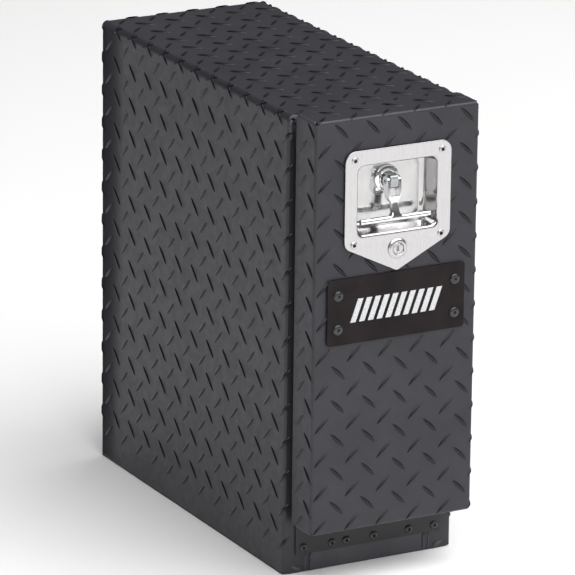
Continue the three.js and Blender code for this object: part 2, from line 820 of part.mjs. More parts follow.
function handleBar() {
  const bar = barDiameter / 2;
  const half = barLength / 2;
  const profile = [
    [0, -half],
    [bar - barBevel, -half],
    [bar, -half + barBevel],
    [bar, half - barBevel],
    [bar - barBevel, half],
    [0, half],
  ];
  const points = profile.map(([radius, h]) => new THREE.Vector2(radius, h));
  const turnedBar = new THREE.LatheGeometry(points, roundSides).rotateZ(-Math.PI / 2);
  return turnedBar.translate(0, doorFace + barSetback, barHeight);
}

const pivotPinHalf = headWidth / 2 + fitGap + forkThickness + pivotPinProud;
piece('handle_shank', handleShank(), chrome);
piece('handle_bar', handleBar(), chrome);
piece('handle_pivot_pin', rod(
  pivotPinDiameter / 2, -pivotPinHalf, pivotPinHalf, alongX, [0, pivotY, spindleHeight],
), stainless);

// ---------------------------------------------------------------- key lock

const barrelEnd = pawlFront - fitGap;
const bezelFront = flangeFront - fitGap - lockBezelHeight;
const plugBore = lockPlug / 2 + fitGap;
piece('lock_barrel', turned([
  [plugBore, bezelFront],
  [lockBezel / 2 - bezelBevelAcross, bezelFront],
  [lockBezel / 2, bezelFront + bezelBevelBack],
  [lockBezel / 2, flangeFront - fitGap],
  [lockBarrel / 2, flangeFront - fitGap],
  [lockBarrel / 2, barrelEnd],
  [plugBore, barrelEnd],
  [plugBore, bezelFront],
], 0, lockHeight), chrome);

piece('lock_nut', hexNut(
  lockNutAcrossFlats, lockBarrel / 2 + fitGap, doorFace + sheet + fitGap, lockNutThickness, lockHeight,
), zinc);

const plugFront = bezelFront + plugRecess;
const pawlRear = pawlFront + pawlThickness;
const tangHalf = plugTang / 2;
const keySlot = block(
  [-keySlotWidth / 2, plugFront - overrun, lockHeight - keySlotHeight / 2],
  [keySlotWidth / 2, plugFront + keySlotDepth, lockHeight + keySlotHeight / 2],
);
const plugBody = join(
  rod(lockPlug / 2, plugFront, barrelEnd, alongY, [0, 0, lockHeight]),
  block(
    [-tangHalf, barrelEnd - overrun, lockHeight - tangHalf],
    [tangHalf, pawlRear, lockHeight + tangHalf],
  ),
);
piece('lock_plug', cut(plugBody, keySlot), chrome);

const pawlOutline = rounded([
  [-pawlWidth / 2, lockHeight - pawlTail, pawlTailRound],
  [pawlWidth / 2, lockHeight - pawlTail, pawlTailRound],
  [pawlWidth / 2, lockHeight + pawlReach, pawlTipRound],
  [-pawlWidth / 2, lockHeight + pawlReach, pawlTipRound],
]);
const tangHole = tangHalf + fitGap;
pawlOutline.holes.push(roundedRectangle(
  -tangHole, lockHeight - tangHole, tangHole, lockHeight + tangHole, fitGap,
));
piece('lock_pawl', pushY(pawlOutline, pawlFront, pawlRear), zinc);
piece('pawl_screw', rod(
  pawlScrewHead / 2, pawlRear + fitGap, pawlRear + fitGap + pawlScrewHeight, alongY, [0, 0, lockHeight],
), zinc);

// ---------------------------------------------------------------- origin

toolBox.updateMatrixWorld(true);
const footprint = new THREE.Box3().setFromObject(toolBox, true);
toolBox.position.set(0, -(footprint.min.y + footprint.max.y) / 2, -footprint.min.z);

export default toolBox;
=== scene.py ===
"""Truck tool box in black tread plate: the looks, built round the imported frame."""

import math

import bpy
from mathutils import Matrix, Vector


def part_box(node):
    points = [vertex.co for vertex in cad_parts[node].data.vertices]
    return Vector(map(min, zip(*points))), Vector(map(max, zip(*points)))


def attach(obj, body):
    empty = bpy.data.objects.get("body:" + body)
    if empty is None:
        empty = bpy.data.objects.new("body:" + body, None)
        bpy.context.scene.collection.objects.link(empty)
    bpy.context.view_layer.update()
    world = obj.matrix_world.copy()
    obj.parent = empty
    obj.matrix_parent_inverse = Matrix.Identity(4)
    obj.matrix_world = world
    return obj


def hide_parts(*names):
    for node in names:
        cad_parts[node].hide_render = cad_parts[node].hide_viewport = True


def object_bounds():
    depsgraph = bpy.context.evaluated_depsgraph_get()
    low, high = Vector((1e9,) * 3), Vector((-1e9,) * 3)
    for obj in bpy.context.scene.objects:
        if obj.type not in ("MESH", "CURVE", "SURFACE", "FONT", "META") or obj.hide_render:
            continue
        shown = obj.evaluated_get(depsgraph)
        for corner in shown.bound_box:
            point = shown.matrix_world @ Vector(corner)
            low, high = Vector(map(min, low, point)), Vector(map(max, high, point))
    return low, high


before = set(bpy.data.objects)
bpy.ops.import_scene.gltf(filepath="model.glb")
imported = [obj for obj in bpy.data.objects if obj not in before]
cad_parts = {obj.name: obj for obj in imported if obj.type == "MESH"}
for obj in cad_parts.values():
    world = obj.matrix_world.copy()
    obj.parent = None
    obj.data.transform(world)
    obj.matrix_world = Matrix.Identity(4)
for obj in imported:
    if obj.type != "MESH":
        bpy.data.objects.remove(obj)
CAD_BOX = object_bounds()
MM = 0.001

# ------------------------------------------------------------ sizes read from the frame

CABINET_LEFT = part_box("left_side_panel")[0]
CABINET_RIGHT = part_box("right_side_panel")[1]
HALF_WIDTH = CABINET_RIGHT.x
FRONT = CABINET_LEFT.y                       # front plane of the cabinet
BACK = CABINET_RIGHT.y                       # rear edge of the side sheets
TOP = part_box("top_panel")[1].z
DEPTH = BACK - FRONT
DOOR_LOW, DOOR_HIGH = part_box("door_skin")
DOOR_HALF = DOOR_HIGH.x
DOOR_TALL = (DOOR_HIGH.z - DOOR_LOW.z) / 2
DOOR_MIDDLE = (DOOR_HIGH.z + DOOR_LOW.z) / 2
DOOR_FACE = DOOR_LOW.y
DOOR_DEEP = DOOR_HIGH.y - DOOR_LOW.y

SHEET = 2.0 * MM                             # tread plate between its lugs
TOP_BEND = 7.0 * MM                          # long bends of the top
FRONT_BEND = 3.0 * MM
DOOR_BEND = 3.0 * MM
RETURN = 33.0 * MM                           # front returns of the side sheets
HEADER = 30.0 * MM                           # front return of the top sheet
FOOT_ROUND = 7.0 * MM                        # rounded lower corners of the cabinet
TAB = 4.0 * MM                               # short tab behind the front bend
EDGE_EASE = 0.4 * MM                         # rounding of a cut sheet edge

# Tread pattern: lugs of one lean on a square grid, lugs of the other lean midway between
PITCH = 37.1 * MM
LUG_LONG = 24.0 * MM
LUG_WIDE = 4.4 * MM
LUG_HIGH = 1.5 * MM
LUG_SUNK = 0.12 * MM                         # how far a lug's rim lies under the sheet
LUG_LEAN = math.radians(45)
LUG_LEAN_BACK = math.radians(135)
LUG_ROWS = 12                                # rows of faces along a lug


# ------------------------------------------------------------ colours and nodes

def paint(code, alpha=1.0):
    """A six-digit sRGB hex colour as linear values."""
    parts = [int(code[i:i + 2], 16) / 255 for i in (0, 2, 4)]
    line = [c / 12.92 if c <= 0.04045 else ((c + 0.055) / 1.055) ** 2.4 for c in parts]
    return (*line, alpha)


def add_node(tree, kind, settings=None, links=None):
    """Adds one node. Settings go to its sockets by name, or else to its properties."""
    made = tree.nodes.new(kind)
    for key, value in (settings or {}).items():
        if key in made.inputs:
            made.inputs[key].default_value = value
        else:
            setattr(made, key, value)
    for key, source in (links or {}).items():
        tree.links.new(source, made.inputs[key])
    return made


def new_material(name, settings):
    """A material with one Principled shader. Returns it, its tree and the shader."""
    made = bpy.data.materials.new(name)
    made.use_nodes = True
    tree = made.node_tree
    shader = tree.nodes["Principled BSDF"]
    for key, value in settings.items():
        shader.inputs[key].default_value = value
    return made, tree, shader


def place_of(tree):
    """The surface point in the object's own metres."""
    return add_node(tree, "ShaderNodeTexCoord").outputs["Object"]


def speckle(tree, size, detail=3.0, stretch=(1, 1, 1)):
    """Noise whose cells are about the given size in metres, longer along a small stretch."""
    moved = add_node(tree, "ShaderNodeMapping", {"Scale": stretch}, {"Vector": place_of(tree)})
    made = add_node(tree, "ShaderNodeTexNoise", {"Scale": 1 / size, "Detail": detail},
                    {"Vector": moved.outputs["Vector"]})
    return made.outputs["Fac"]


def spread(tree, source, low, high, start=0.3, end=0.7):
    """Turns noise into a value between low and high."""
    made = add_node(tree, "ShaderNodeMapRange",
                    {"From Min": start, "From Max": end, "To Min": low, "To Max": high},
                    {"Value": source})
    return made.outputs["Result"]


def two_colours(tree, source, first, second, start=0.35, end=0.65):
    """Blends two hex colours by noise."""
    ramp = add_node(tree, "ShaderNodeValToRGB", None, {"Fac": source})
    ramp.color_ramp.elements[0].position = start
    ramp.color_ramp.elements[0].color = paint(first)
    ramp.color_ramp.elements[1].position = end
    ramp.color_ramp.elements[1].color = paint(second)
    return ramp.outputs["Color"]


def roughen(tree, shader, height, depth, strength=1.0):
    """Bump of a real depth in metres."""
    bump = add_node(tree, "ShaderNodeBump", {"Distance": depth, "Strength": strength},
                    {"Height": height})
    tree.links.new(bump.outputs["Normal"], shader.inputs["Normal"])


# ------------------------------------------------------------ finishes

def powder_coated_tread_plate():
    """Aluminium tread plate under satin black powder coat. Baked powder leaves a faint
    orange peel of about 1 mm, drawn at 2.5 mm to show, and a slightly uneven gloss."""
    made, tree, shader = new_material("satin_powder_coat_tread", {"IOR": 1.5})
    cloud = speckle(tree, 60 * MM)
    tree.links.new(two_colours(tree, cloud, "27272d", "2d2d33"), shader.inputs["Base Color"])
    tree.links.new(spread(tree, speckle(tree, 9 * MM), 0.40, 0.52), shader.inputs["Roughness"])
    roughen(tree, shader, speckle(tree, 2.5 * MM, 1.0), 0.06 * MM, 0.35)
    return made


def powder_coated_lugs():
    """The raised lugs of the tread plate: a deeper black than the flat sheet, painted shade
    for the shadows on their steep flanks, and a little glossier."""
    made, tree, shader = new_material("lug_coat_painted_shade", {"IOR": 1.5, "Specular IOR Level": 0.38})
    cloud = speckle(tree, 8 * MM)
    # Darker base than the flat sheet's: painted shade on the lugs
    tree.links.new(two_colours(tree, cloud, "0e0e11", "151518"), shader.inputs["Base Color"])
    tree.links.new(spread(tree, cloud, 0.27, 0.36), shader.inputs["Roughness"])
    roughen(tree, shader, speckle(tree, 2.5 * MM, 1.0), 0.05 * MM, 0.3)
    return made


def powder_coated_smooth_sheet():
    """Plain aluminium sheet under the same satin black powder coat, coloured lighter than the
    tread as painted light for the sill shaded by the door.
    """
    made, tree, shader = new_material("smooth_coat_painted_light", {"IOR": 1.5})
    cloud = speckle(tree, 22 * MM, 4.0)
    # Lighter than the tread's black: painted light
    tree.links.new(two_colours(tree, cloud, "39383e", "424147"), shader.inputs["Base Color"])
    tree.links.new(spread(tree, speckle(tree, 6 * MM), 0.38, 0.5), shader.inputs["Roughness"])
    roughen(tree, shader, speckle(tree, 2.2 * MM, 1.0), 0.05 * MM, 0.3)
    return made


def powder_coated_hinge_steel():
    """Rolled steel hinge strip, thinly coated, with the rolling lines showing; coloured darker
    than the tread as painted shade under the door.
    """
    made, tree, shader = new_material("hinge_coat_painted_shade", {"IOR": 1.5})
    grain = speckle(tree, 3 * MM, 3.0, (0.12, 1, 1))
    # Darker than the tread's black: painted shade
    tree.links.new(two_colours(tree, grain, "161618", "1e1e21"), shader.inputs["Base Color"])
    tree.links.new(spread(tree, grain, 0.36, 0.5), shader.inputs["Roughness"])
    roughen(tree, shader, grain, 0.04 * MM, 0.4)
    return made


def coated_rivet():
    """Aluminium pop rivet with black lacquer, smoother and glossier than the sheet."""
    made, tree, shader = new_material("black_lacquered_rivet", {"IOR": 1.5})
    cloud = speckle(tree, 3 * MM)
    tree.links.new(two_colours(tree, cloud, "29292c", "363639"), shader.inputs["Base Color"])
    tree.links.new(spread(tree, cloud, 0.16, 0.24), shader.inputs["Roughness"])
    roughen(tree, shader, cloud, 0.03 * MM, 0.3)
    return made


def rivet_hole_shade():
    """Near-black painted shade in a rivet's hole, over its wall and the broken steel mandrel
    at its bottom: uneven.
    """
    made, tree, shader = new_material("rivet_hole_painted_shade", {"Metallic": 0.2})
    cloud = speckle(tree, 0.8 * MM)
    # Near-black: painted shade in the rivet's hole
    tree.links.new(two_colours(tree, cloud, "0d0d0e", "1a1a1b"), shader.inputs["Base Color"])
    tree.links.new(spread(tree, cloud, 0.5, 0.7), shader.inputs["Roughness"])
    return made


def mill_finish_aluminium():
    """Aluminium sheet as rolled: soft grey with fine lines along the rolling direction."""
    made, tree, shader = new_material("mill_finish_aluminium", {"Metallic": 1.0})
    grain = speckle(tree, 1.6 * MM, 4.0, (1, 1, 0.05))
    tree.links.new(two_colours(tree, grain, "9a9c9f", "b2b4b6"), shader.inputs["Base Color"])
    tree.links.new(spread(tree, grain, 0.32, 0.46), shader.inputs["Roughness"])
    roughen(tree, shader, grain, 0.03 * MM, 0.3)
    return made


def sponge_rubber():
    """Extruded sponge rubber: matte black skin with fine pores of about 0.5 mm,
    drawn at 1 mm."""
    made, tree, shader = new_material("matte_sponge_rubber", {"IOR": 1.52})
    pores = speckle(tree, 1.0 * MM, 2.0)
    tree.links.new(two_colours(tree, pores, "151516", "1d1d1e"), shader.inputs["Base Color"])
    tree.links.new(spread(tree, pores, 0.7, 0.88), shader.inputs["Roughness"])
    roughen(tree, shader, pores, 0.08 * MM, 0.5)
    return made


def brushed_stainless():
    """Stainless steel sheet with a fine belt-brushed finish running up the flange:
    lines under 0.1 mm apart, drawn at 0.7 mm."""
    made, tree, shader = new_material("brushed_stainless", {"Metallic": 1.0})
    grain = speckle(tree, 0.7 * MM, 3.0, (1, 1, 0.02))
    tree.links.new(two_colours(tree, grain, "c6c3c4", "cecccd"), shader.inputs["Base Color"])
    tree.links.new(spread(tree, grain, 0.24, 0.34), shader.inputs["Roughness"])
    roughen(tree, shader, grain, 0.008 * MM, 0.4)
    return made


def drawn_stainless():
    """The deep-drawn bowl of the latch, left bright by the press: nearly a mirror, with
    faint ripples where the metal stretched."""
    made, tree, shader = new_material("bright_drawn_stainless", {"Metallic": 1.0})
    ripple = speckle(tree, 14 * MM, 2.0, (1, 1, 0.5))
    tree.links.new(two_colours(tree, ripple, "bdbcbc", "c9c8c8"), shader.inputs["Base Color"])
    tree.links.new(spread(tree, speckle(tree, 5 * MM), 0.1, 0.17), shader.inputs["Roughness"])
    roughen(tree, shader, ripple, 0.25 * MM, 0.35)
    return made


def bright_chrome():
    """Polished chrome plate on die-cast zinc: mirror bright, a little wavy."""
    made, tree, shader = new_material("polished_chrome_plate", {"Metallic": 1.0})
    ripple = speckle(tree, 4 * MM, 2.0)
    tree.links.new(two_colours(tree, ripple, "e4e5e6", "edeeee"), shader.inputs["Base Color"])
    tree.links.new(spread(tree, ripple, 0.05, 0.11), shader.inputs["Roughness"])
    roughen(tree, shader, ripple, 0.05 * MM, 0.25)
    return made


def dull_zinc_plate():
    """Zinc-plated steel: cool grey with cloudy crystals."""
    made, tree, shader = new_material("dull_zinc_plate", {"Metallic": 1.0})
    cloud = speckle(tree, 5 * MM, 4.0)
    tree.links.new(two_colours(tree, cloud, "a4a7aa", "bcbec0"), shader.inputs["Base Color"])
    tree.links.new(spread(tree, cloud, 0.3, 0.45), shader.inputs["Roughness"])
    roughen(tree, shader, cloud, 0.03 * MM, 0.3)
    return made


def gloss_plate_enamel():
    """Baked gloss enamel, brown-black, on the riveted plate: smooth, with a low sheen."""
    made, tree, shader = new_material("gloss_enamel_plate", {"IOR": 1.5, "Specular IOR Level": 0.16})
    cloud = speckle(tree, 30 * MM, 3.0)
    tree.links.new(two_colours(tree, cloud, "120d0e", "1f1718"), shader.inputs["Base Color"])
    tree.links.new(spread(tree, cloud, 0.12, 0.2), shader.inputs["Roughness"])
    roughen(tree, shader, speckle(tree, 12 * MM, 1.0), 0.1 * MM, 0.15)
    return made


def silver_print():
    """Silver ink screened on the plate: bright and slightly grainy."""
    made, tree, shader = new_material("silver_screen_print", {"Metallic": 0.6})
    grain = speckle(tree, 1.2 * MM, 2.0)
    tree.links.new(two_colours(tree, grain, "c4c6c8", "dcdddd"), shader.inputs["Base Color"])
    tree.links.new(spread(tree, grain, 0.26, 0.4), shader.inputs["Roughness"])
    roughen(tree, shader, grain, 0.02 * MM, 0.3)
    return made


def studio_floor():
    """Matte pale paper sweep."""
    made, tree, shader = new_material("pale_paper_floor", {"Roughness": 0.9})
    cloud = speckle(tree, 0.8)
    tree.links.new(two_colours(tree, cloud, "f6f6f5", "f8f8f8"), shader.inputs["Base Color"])
    return made


TREAD = powder_coated_tread_plate()
LUGS = powder_coated_lugs()
SMOOTH = powder_coated_smooth_sheet()
HINGE = powder_coated_hinge_steel()
RIVET = coated_rivet()
RIVET_HOLE_SHADE = rivet_hole_shade()
LINER = mill_finish_aluminium()
RUBBER = sponge_rubber()
BRUSHED = brushed_stainless()
DRAWN = drawn_stainless()
CHROME = bright_chrome()
ZINC = dull_zinc_plate()
ENAMEL = gloss_plate_enamel()
SILVER = silver_print()


# ------------------------------------------------------------ mesh helpers

def new_piece(name, points, faces, material, body, slot, replaced=(), smooth=True):
    """A mesh piece that rides on a body and may stand for CAD nodes."""
    mesh = bpy.data.meshes.new(name)
    mesh.from_pydata([tuple(p) for p in points], [], faces)
    mesh.validate()
    mesh.materials.append(material)
    mesh.polygons.foreach_set("use_smooth", [smooth] * len(mesh.polygons))
    made = bpy.data.objects.new(name, mesh)
    bpy.context.scene.collection.objects.link(made)
    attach(made, body)
    if replaced:
        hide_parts(*replaced)
    return made


def thicken(piece, thickness, even=True):
    """Gives a surface its sheet thickness, behind it."""
    wall = piece.modifiers.new("sheet", "SOLIDIFY")
    wall.thickness = thickness
    wall.offset = -1
    wall.use_even_offset = even


def ease_edges(piece, width, angle=35, steps=2):
    """Rounds the edges sharper than an angle, and keeps flat faces flat."""
    bevel = piece.modifiers.new("edges", "BEVEL")
    bevel.width = width
    bevel.segments = steps
    bevel.limit_method = "ANGLE"
    bevel.angle_limit = math.radians(angle)
    bevel.use_clamp_overlap = True
    weighted = piece.modifiers.new("shading", "WEIGHTED_NORMAL")
    weighted.keep_sharp = True


def sheet_from(name, firsts, seconds, place, skipped, **rest):
    """A surface over a grid of sheet measures; place turns two measures into a point."""
    points, faces, kept = [], [], {}

    def corner(i, j):
        if (i, j) not in kept:
            kept[i, j] = len(points)
            points.append(place(firsts[i], seconds[j], 0.0))
        return kept[i, j]

    for i in range(len(firsts) - 1):
        for j in range(len(seconds) - 1):
            middle = (firsts[i] + firsts[i + 1]) / 2, (seconds[j] + seconds[j + 1]) / 2
            if not skipped(*middle):
                faces.append((corner(i, j), corner(i + 1, j), corner(i + 1, j + 1), corner(i, j + 1)))
    return new_piece(name, points, faces, **rest)


def between_rows(rows, count):
    """Faces between closed rows of points, each of the same count."""
    faces = []
    for i in range(rows - 1):
        near, far = i * count, (i + 1) * count
        for k in range(count):
            after = (k + 1) % count
            faces.append((near + k, near + after, far + after, far + k))
    return faces


def turned(profile, steps=40):
    """A lathe form about its own axis. Profile is (radius, distance along) pairs."""
    points = []
    for radius, along in profile:
        for k in range(steps):
            turn = 2 * math.pi * k / steps
            points.append(Vector((radius * math.cos(turn), radius * math.sin(turn), along)))
    faces = between_rows(len(profile), steps)
    for ring in (0, len(profile) - 1):
        if profile[ring][0] > 0:
            loop = [ring * steps + k for k in range(steps)]
            faces.append(loop[::-1] if ring == 0 else loop)
    return points, faces


TOWARDS_FRONT = Matrix.Rotation(math.radians(90), 4, "X")      # local +Z to world -Y
ACROSS = Matrix.Rotation(math.radians(90), 4, "Y")             # local +Z to world +X
DOWNWARDS = Matrix.Rotation(math.radians(180), 4, "X")


def set_at(form, turn, centre):
    """Turns a form and moves it to a centre."""
    points, faces = form
    return [turn @ p + Vector(centre) for p in points], faces


def merged(*forms):
    """Several forms as one list of points and faces."""
    points, faces = [], []
    for some, their in forms:
        base = len(points)
        points += some
        faces += [tuple(base + k for k in face) for face in their]
    return points, faces


def rounded_outline(corners, steps=8):
    """A closed outline through (x, z, radius) corners, listed anticlockwise."""
    made = []
    count = len(corners)
    for k in range(count):
        x, z, radius = corners[k]
        before = Vector(corners[k - 1][:2]) - Vector((x, z))
        after = Vector(corners[(k + 1) % count][:2]) - Vector((x, z))
        before.normalize()
        after.normalize()
        half = before.angle(after) / 2
        reach = radius / math.tan(half)
        middle = Vector((x, z)) + (before + after).normalized() * (radius / math.sin(half))
        first = Vector((x, z)) + before * reach - middle
        last = Vector((x, z)) + after * reach - middle
        sweep = first.angle_signed(last)
        for j in range(steps + 1):
            turn = -sweep * j / steps
            spun = Matrix.Rotation(turn, 2) @ first
            made.append(middle + spun)
    return made


def swept(path, section):
    """Sweeps a closed section of (outward, forward) pairs round a closed flat path in XZ."""
    points, faces = [], []
    count, sides = len(path), len(section)
    for k in range(count):
        here, ahead, behind = path[k], path[(k + 1) % count], path[k - 1]
        along = (Vector(ahead) - Vector(behind)).normalized()
        out = Vector((along.y, -along.x))
        for outward, forward in section:
            points.append(Vector((here[0] + out.x * outward, forward, here[1] + out.y * outward)))
    for k in range(count):
        nxt = (k + 1) % count
        for j in range(sides):
            other = (j + 1) % sides
            faces.append((k * sides + j, k * sides + other, nxt * sides + other, nxt * sides + j))
    return points, faces


BEAD_RIPPLE = 0.16                           # share of a bead's radius
BEAD_BEAT = 1.9                              # ripple turn from one point to the next
BEAD_TAPER = 0.5                             # how much thinner a bead is at its ends


def bead(path, radius, sides=8):
    """A weld bead along a path: a round run with the ripples of the torch."""
    points = []
    count = len(path)
    for k in range(count):
        along = (path[min(k + 1, count - 1)] - path[max(k - 1, 0)]).normalized()
        side = along.orthogonal().normalized()
        other = along.cross(side)
        taper = BEAD_TAPER if k in (0, count - 1) else 0
        swell = radius * (1 + BEAD_RIPPLE * math.sin(k * BEAD_BEAT) - taper)
        for j in range(sides):
            turn = 2 * math.pi * j / sides
            points.append(path[k] + side * swell * math.cos(turn) + other * swell * math.sin(turn))
    faces = between_rows(count, sides)
    faces.append(tuple(range(sides))[::-1])
    faces.append(tuple((count - 1) * sides + j for j in range(sides)))
    return points, faces


def line_between(start, end, step=1.2 * MM):
    """Evenly spaced points from start to end."""
    start, end = Vector(start), Vector(end)
    count = max(2, int((end - start).length / step))
    return [start.lerp(end, k / count) for k in range(count + 1)]


# ------------------------------------------------------------ sheet shapes

def wrap_section(s):
    """Where the wrapped sheet lies after length s from its left foot: point and outward
    direction, across and up."""
    side = TOP - TOP_BEND
    quarter = TOP_BEND * math.pi / 2
    flat = 2 * (HALF_WIDTH - TOP_BEND)
    if s <= side:
        return (-HALF_WIDTH, s), (-1, 0)
    s -= side
    if s <= quarter:
        a = s / TOP_BEND
        x, z = -HALF_WIDTH + TOP_BEND * (1 - math.cos(a)), side + TOP_BEND * math.sin(a)
        return (x, z), (-math.cos(a), math.sin(a))
    s -= quarter
    if s <= flat:
        return (-HALF_WIDTH + TOP_BEND + s, TOP), (0, 1)
    s -= flat
    if s <= quarter:
        a = s / TOP_BEND
        x, z = HALF_WIDTH - TOP_BEND * (1 - math.sin(a)), side + TOP_BEND * math.cos(a)
        return (x, z), (math.sin(a), math.cos(a))
    return (HALF_WIDTH, side - (s - quarter)), (1, 0)


WRAP_SIDE = TOP - TOP_BEND
WRAP_QUARTER = TOP_BEND * math.pi / 2
WRAP_TOP = 2 * (HALF_WIDTH - TOP_BEND)
WRAP_LONG = 2 * WRAP_SIDE + 2 * WRAP_QUARTER + WRAP_TOP
# Measured back from the front plane along the sheet, so the returns are at negative values
BEND_END = FRONT_BEND * (1 - math.pi / 2)    # where the front bend meets the return
RETURN_EDGE = BEND_END - RETURN + FRONT_BEND  # cut edge of a side's return
HEADER_EDGE = BEND_END - HEADER + FRONT_BEND  # cut edge of the top's return


def foot_height(t):
    """How far the lower edge lifts at the rounded front corner."""
    near = abs(t) / FOOT_ROUND
    if near >= 1:
        return 0.0
    return FOOT_ROUND * (1 - math.sqrt(1 - (1 - near) ** 2))


def on_wrap(s, t, up):
    """A point on the cabinet's wrapped sheet: s round it from the left foot, t back from
    the front plane, with the front returns at negative t."""
    foot = foot_height(t)
    s = min(max(s, foot), WRAP_LONG - foot)
    (x, z), (out_x, out_z) = wrap_section(s)
    if t >= FRONT_BEND:
        inward, y, out, ahead = 0.0, t, 1.0, 0.0
    elif t >= BEND_END:
        a = (FRONT_BEND - t) / FRONT_BEND
        inward, y = FRONT_BEND * (1 - math.cos(a)), FRONT_BEND * (1 - math.sin(a))
        out, ahead = math.cos(a), math.sin(a)
    else:
        inward, y, out, ahead = FRONT_BEND + BEND_END - t, 0.0, 0.0, 1.0
    shift = out * up - inward
    return Vector((x + out_x * shift, FRONT + y - ahead * up, z + out_z * shift))


def fold(c, half, bend):
    """Length c from the middle of a face, carried round the bend at its edge: place
    across, distance behind the face, and tilt."""
    flat = half - bend
    over = abs(c) - flat
    if over <= 0:
        return c, 0.0, 0.0
    sign = math.copysign(1, c)
    if over <= bend * math.pi / 2:
        a = over / bend
        return sign * (flat + bend * math.sin(a)), bend * (1 - math.cos(a)), sign * a
    return sign * half, bend + over - bend * math.pi / 2, sign * math.pi / 2


def on_door(a, b, up):
    """A point on the door pan: a across and b up from its middle, round its bends."""
    x, behind_x, lean_x = fold(a, DOOR_HALF, DOOR_BEND)
    z, behind_z, lean_z = fold(b, DOOR_TALL, DOOR_BEND)
    out = Vector((math.sin(lean_x), -math.cos(lean_x) * math.cos(lean_z), math.sin(lean_z)))
    base = Vector((x, DOOR_FACE + behind_x + behind_z, DOOR_MIDDLE + z))
    return base + out * up


def on_back(a, b, up):
    """A point on the back sheet: a across and b up."""
    return Vector((a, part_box("back_panel")[1].y + up, b))


def steps_between(start, end, count):
    """Evenly spaced measures from start to end."""
    return [start + (end - start) * k / count for k in range(count + 1)]


def joined(*runs):
    """Runs of measures end to end, without repeats."""
    made = []
    for run in runs:
        made += [v for v in run if not made or v > made[-1] + 1e-7]
    return made


# ------------------------------------------------------------ lugs

# Across a lug: place as a share of its half width, and height as a share of its own
LUG_SECTION = ((-1, 0), (-0.66, 0.6), (-0.24, 0.97), (0.24, 0.97), (0.66, 0.6), (1, 0))
LUG_POINT = 0.04                             # width of a lug's very end, as a share


def lug_form(long, wide, high):
    """One raised lug as rows of (along, across, up): a leaf with pointed ends."""
    rows = []
    for k in range(LUG_ROWS + 1):
        u = -math.cos(math.pi * k / LUG_ROWS)
        width = wide / 2 * (LUG_POINT + (1 - LUG_POINT) * (1 - u * u) ** 0.85)
        height = high * (1 - abs(u) ** 3.2) ** 0.6
        rows.append([(u * long / 2, width * v, height * h - LUG_SUNK) for v, h in LUG_SECTION])
    return rows


LUG = lug_form(LUG_LONG, LUG_WIDE, LUG_HIGH)


def lugs(spots, place, limits):
    """Lugs at (first, second, lean) spots of a sheet, cut off where the sheet ends."""
    (low_a, high_a), (low_b, high_b) = limits
    near = 8 * MM                            # a lug centred further outside is left out
    across = len(LUG_SECTION)
    points, faces = [], []
    for a, b, lean in spots:
        if not (low_a - near < a < high_a + near and low_b - near < b < high_b + near):
            continue
        cos, sin = math.cos(lean), math.sin(lean)
        base = len(points)
        for row in LUG:
            for u, v, up in row:
                first = min(max(a + u * cos - v * sin, low_a), high_a)
                second = min(max(b + u * sin + v * cos, low_b), high_b)
                points.append(place(first, second, up))
        for i in range(len(LUG) - 1):
            for j in range(across - 1):
                k = base + i * across + j
                faces.append((k, k + 1, k + across + 1, k + across))
    return points, faces


def lattice(first, second, counts, lean, offset_lean):
    """Spots of both leans, from the first lug of one lean; the other lies midway."""
    spots = []
    for i in range(counts[0]):
        for j in range(counts[1]):
            spots.append((first + PITCH * i, second + PITCH * j, lean))
            spots.append((first + PITCH * (i + 0.5), second + PITCH * (j + 0.5), offset_lean))
    return spots


# ------------------------------------------------------------ cabinet

def cabinet_sheet():
    """Side sheets, top and front returns as one folded skin with true bends."""
    around = joined(steps_between(0, FOOT_ROUND, 4), steps_between(FOOT_ROUND, TOP - HEADER, 8),
                    [WRAP_SIDE], steps_between(WRAP_SIDE, WRAP_SIDE + WRAP_QUARTER, 8),
                    steps_between(WRAP_SIDE + WRAP_QUARTER, WRAP_SIDE + WRAP_QUARTER + WRAP_TOP, 6),
                    steps_between(WRAP_SIDE + WRAP_QUARTER + WRAP_TOP, WRAP_LONG - WRAP_SIDE, 8),
                    [WRAP_LONG - TOP + HEADER],
                    steps_between(WRAP_LONG - TOP + HEADER, WRAP_LONG - FOOT_ROUND, 8),
                    steps_between(WRAP_LONG - FOOT_ROUND, WRAP_LONG, 4))
    back = joined([RETURN_EDGE, HEADER_EDGE, BEND_END - TAB],
                  steps_between(BEND_END, FRONT_BEND, 6), [FOOT_ROUND],
                  steps_between(FOOT_ROUND, DEPTH, 8))

    def skipped(s, t):
        on_side = min(s, WRAP_LONG - s)
        if t >= BEND_END:
            return False
        if on_side < TOP - HEADER:
            return False
        if on_side < WRAP_SIDE:
            return t < BEND_END - TAB
        if on_side < WRAP_SIDE + WRAP_QUARTER:
            return True
        return t < HEADER_EDGE

    made = sheet_from("cabinet_skin", around, back, on_wrap, skipped, material=TREAD, body="cabinet",
                      slot="black_tread_plate",
                      replaced=("left_side_panel", "right_side_panel", "top_panel"))
    thicken(made, SHEET)
    ease_edges(made, EDGE_EASE)


SIDE_FIRST = 2.6 * MM                        # first lug column of a side, behind the front plane
SIDE_LEVEL = 33.9 * MM                       # lowest lug row of a side
TOP_FIRST = -65.8 * MM                       # first lug column of the top, from its middle
TOP_BACK = 24.9 * MM                         # first lug row of the top, behind the front plane
DOOR_FIRST = -84.9 * MM                      # first lug column of the door and the back
DOOR_LEVEL = 67.5 * MM                       # lowest lug row of the door
BADGE_LOW, BADGE_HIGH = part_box("badge_plate")
PAN_LOW, PAN_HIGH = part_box("latch_pan")


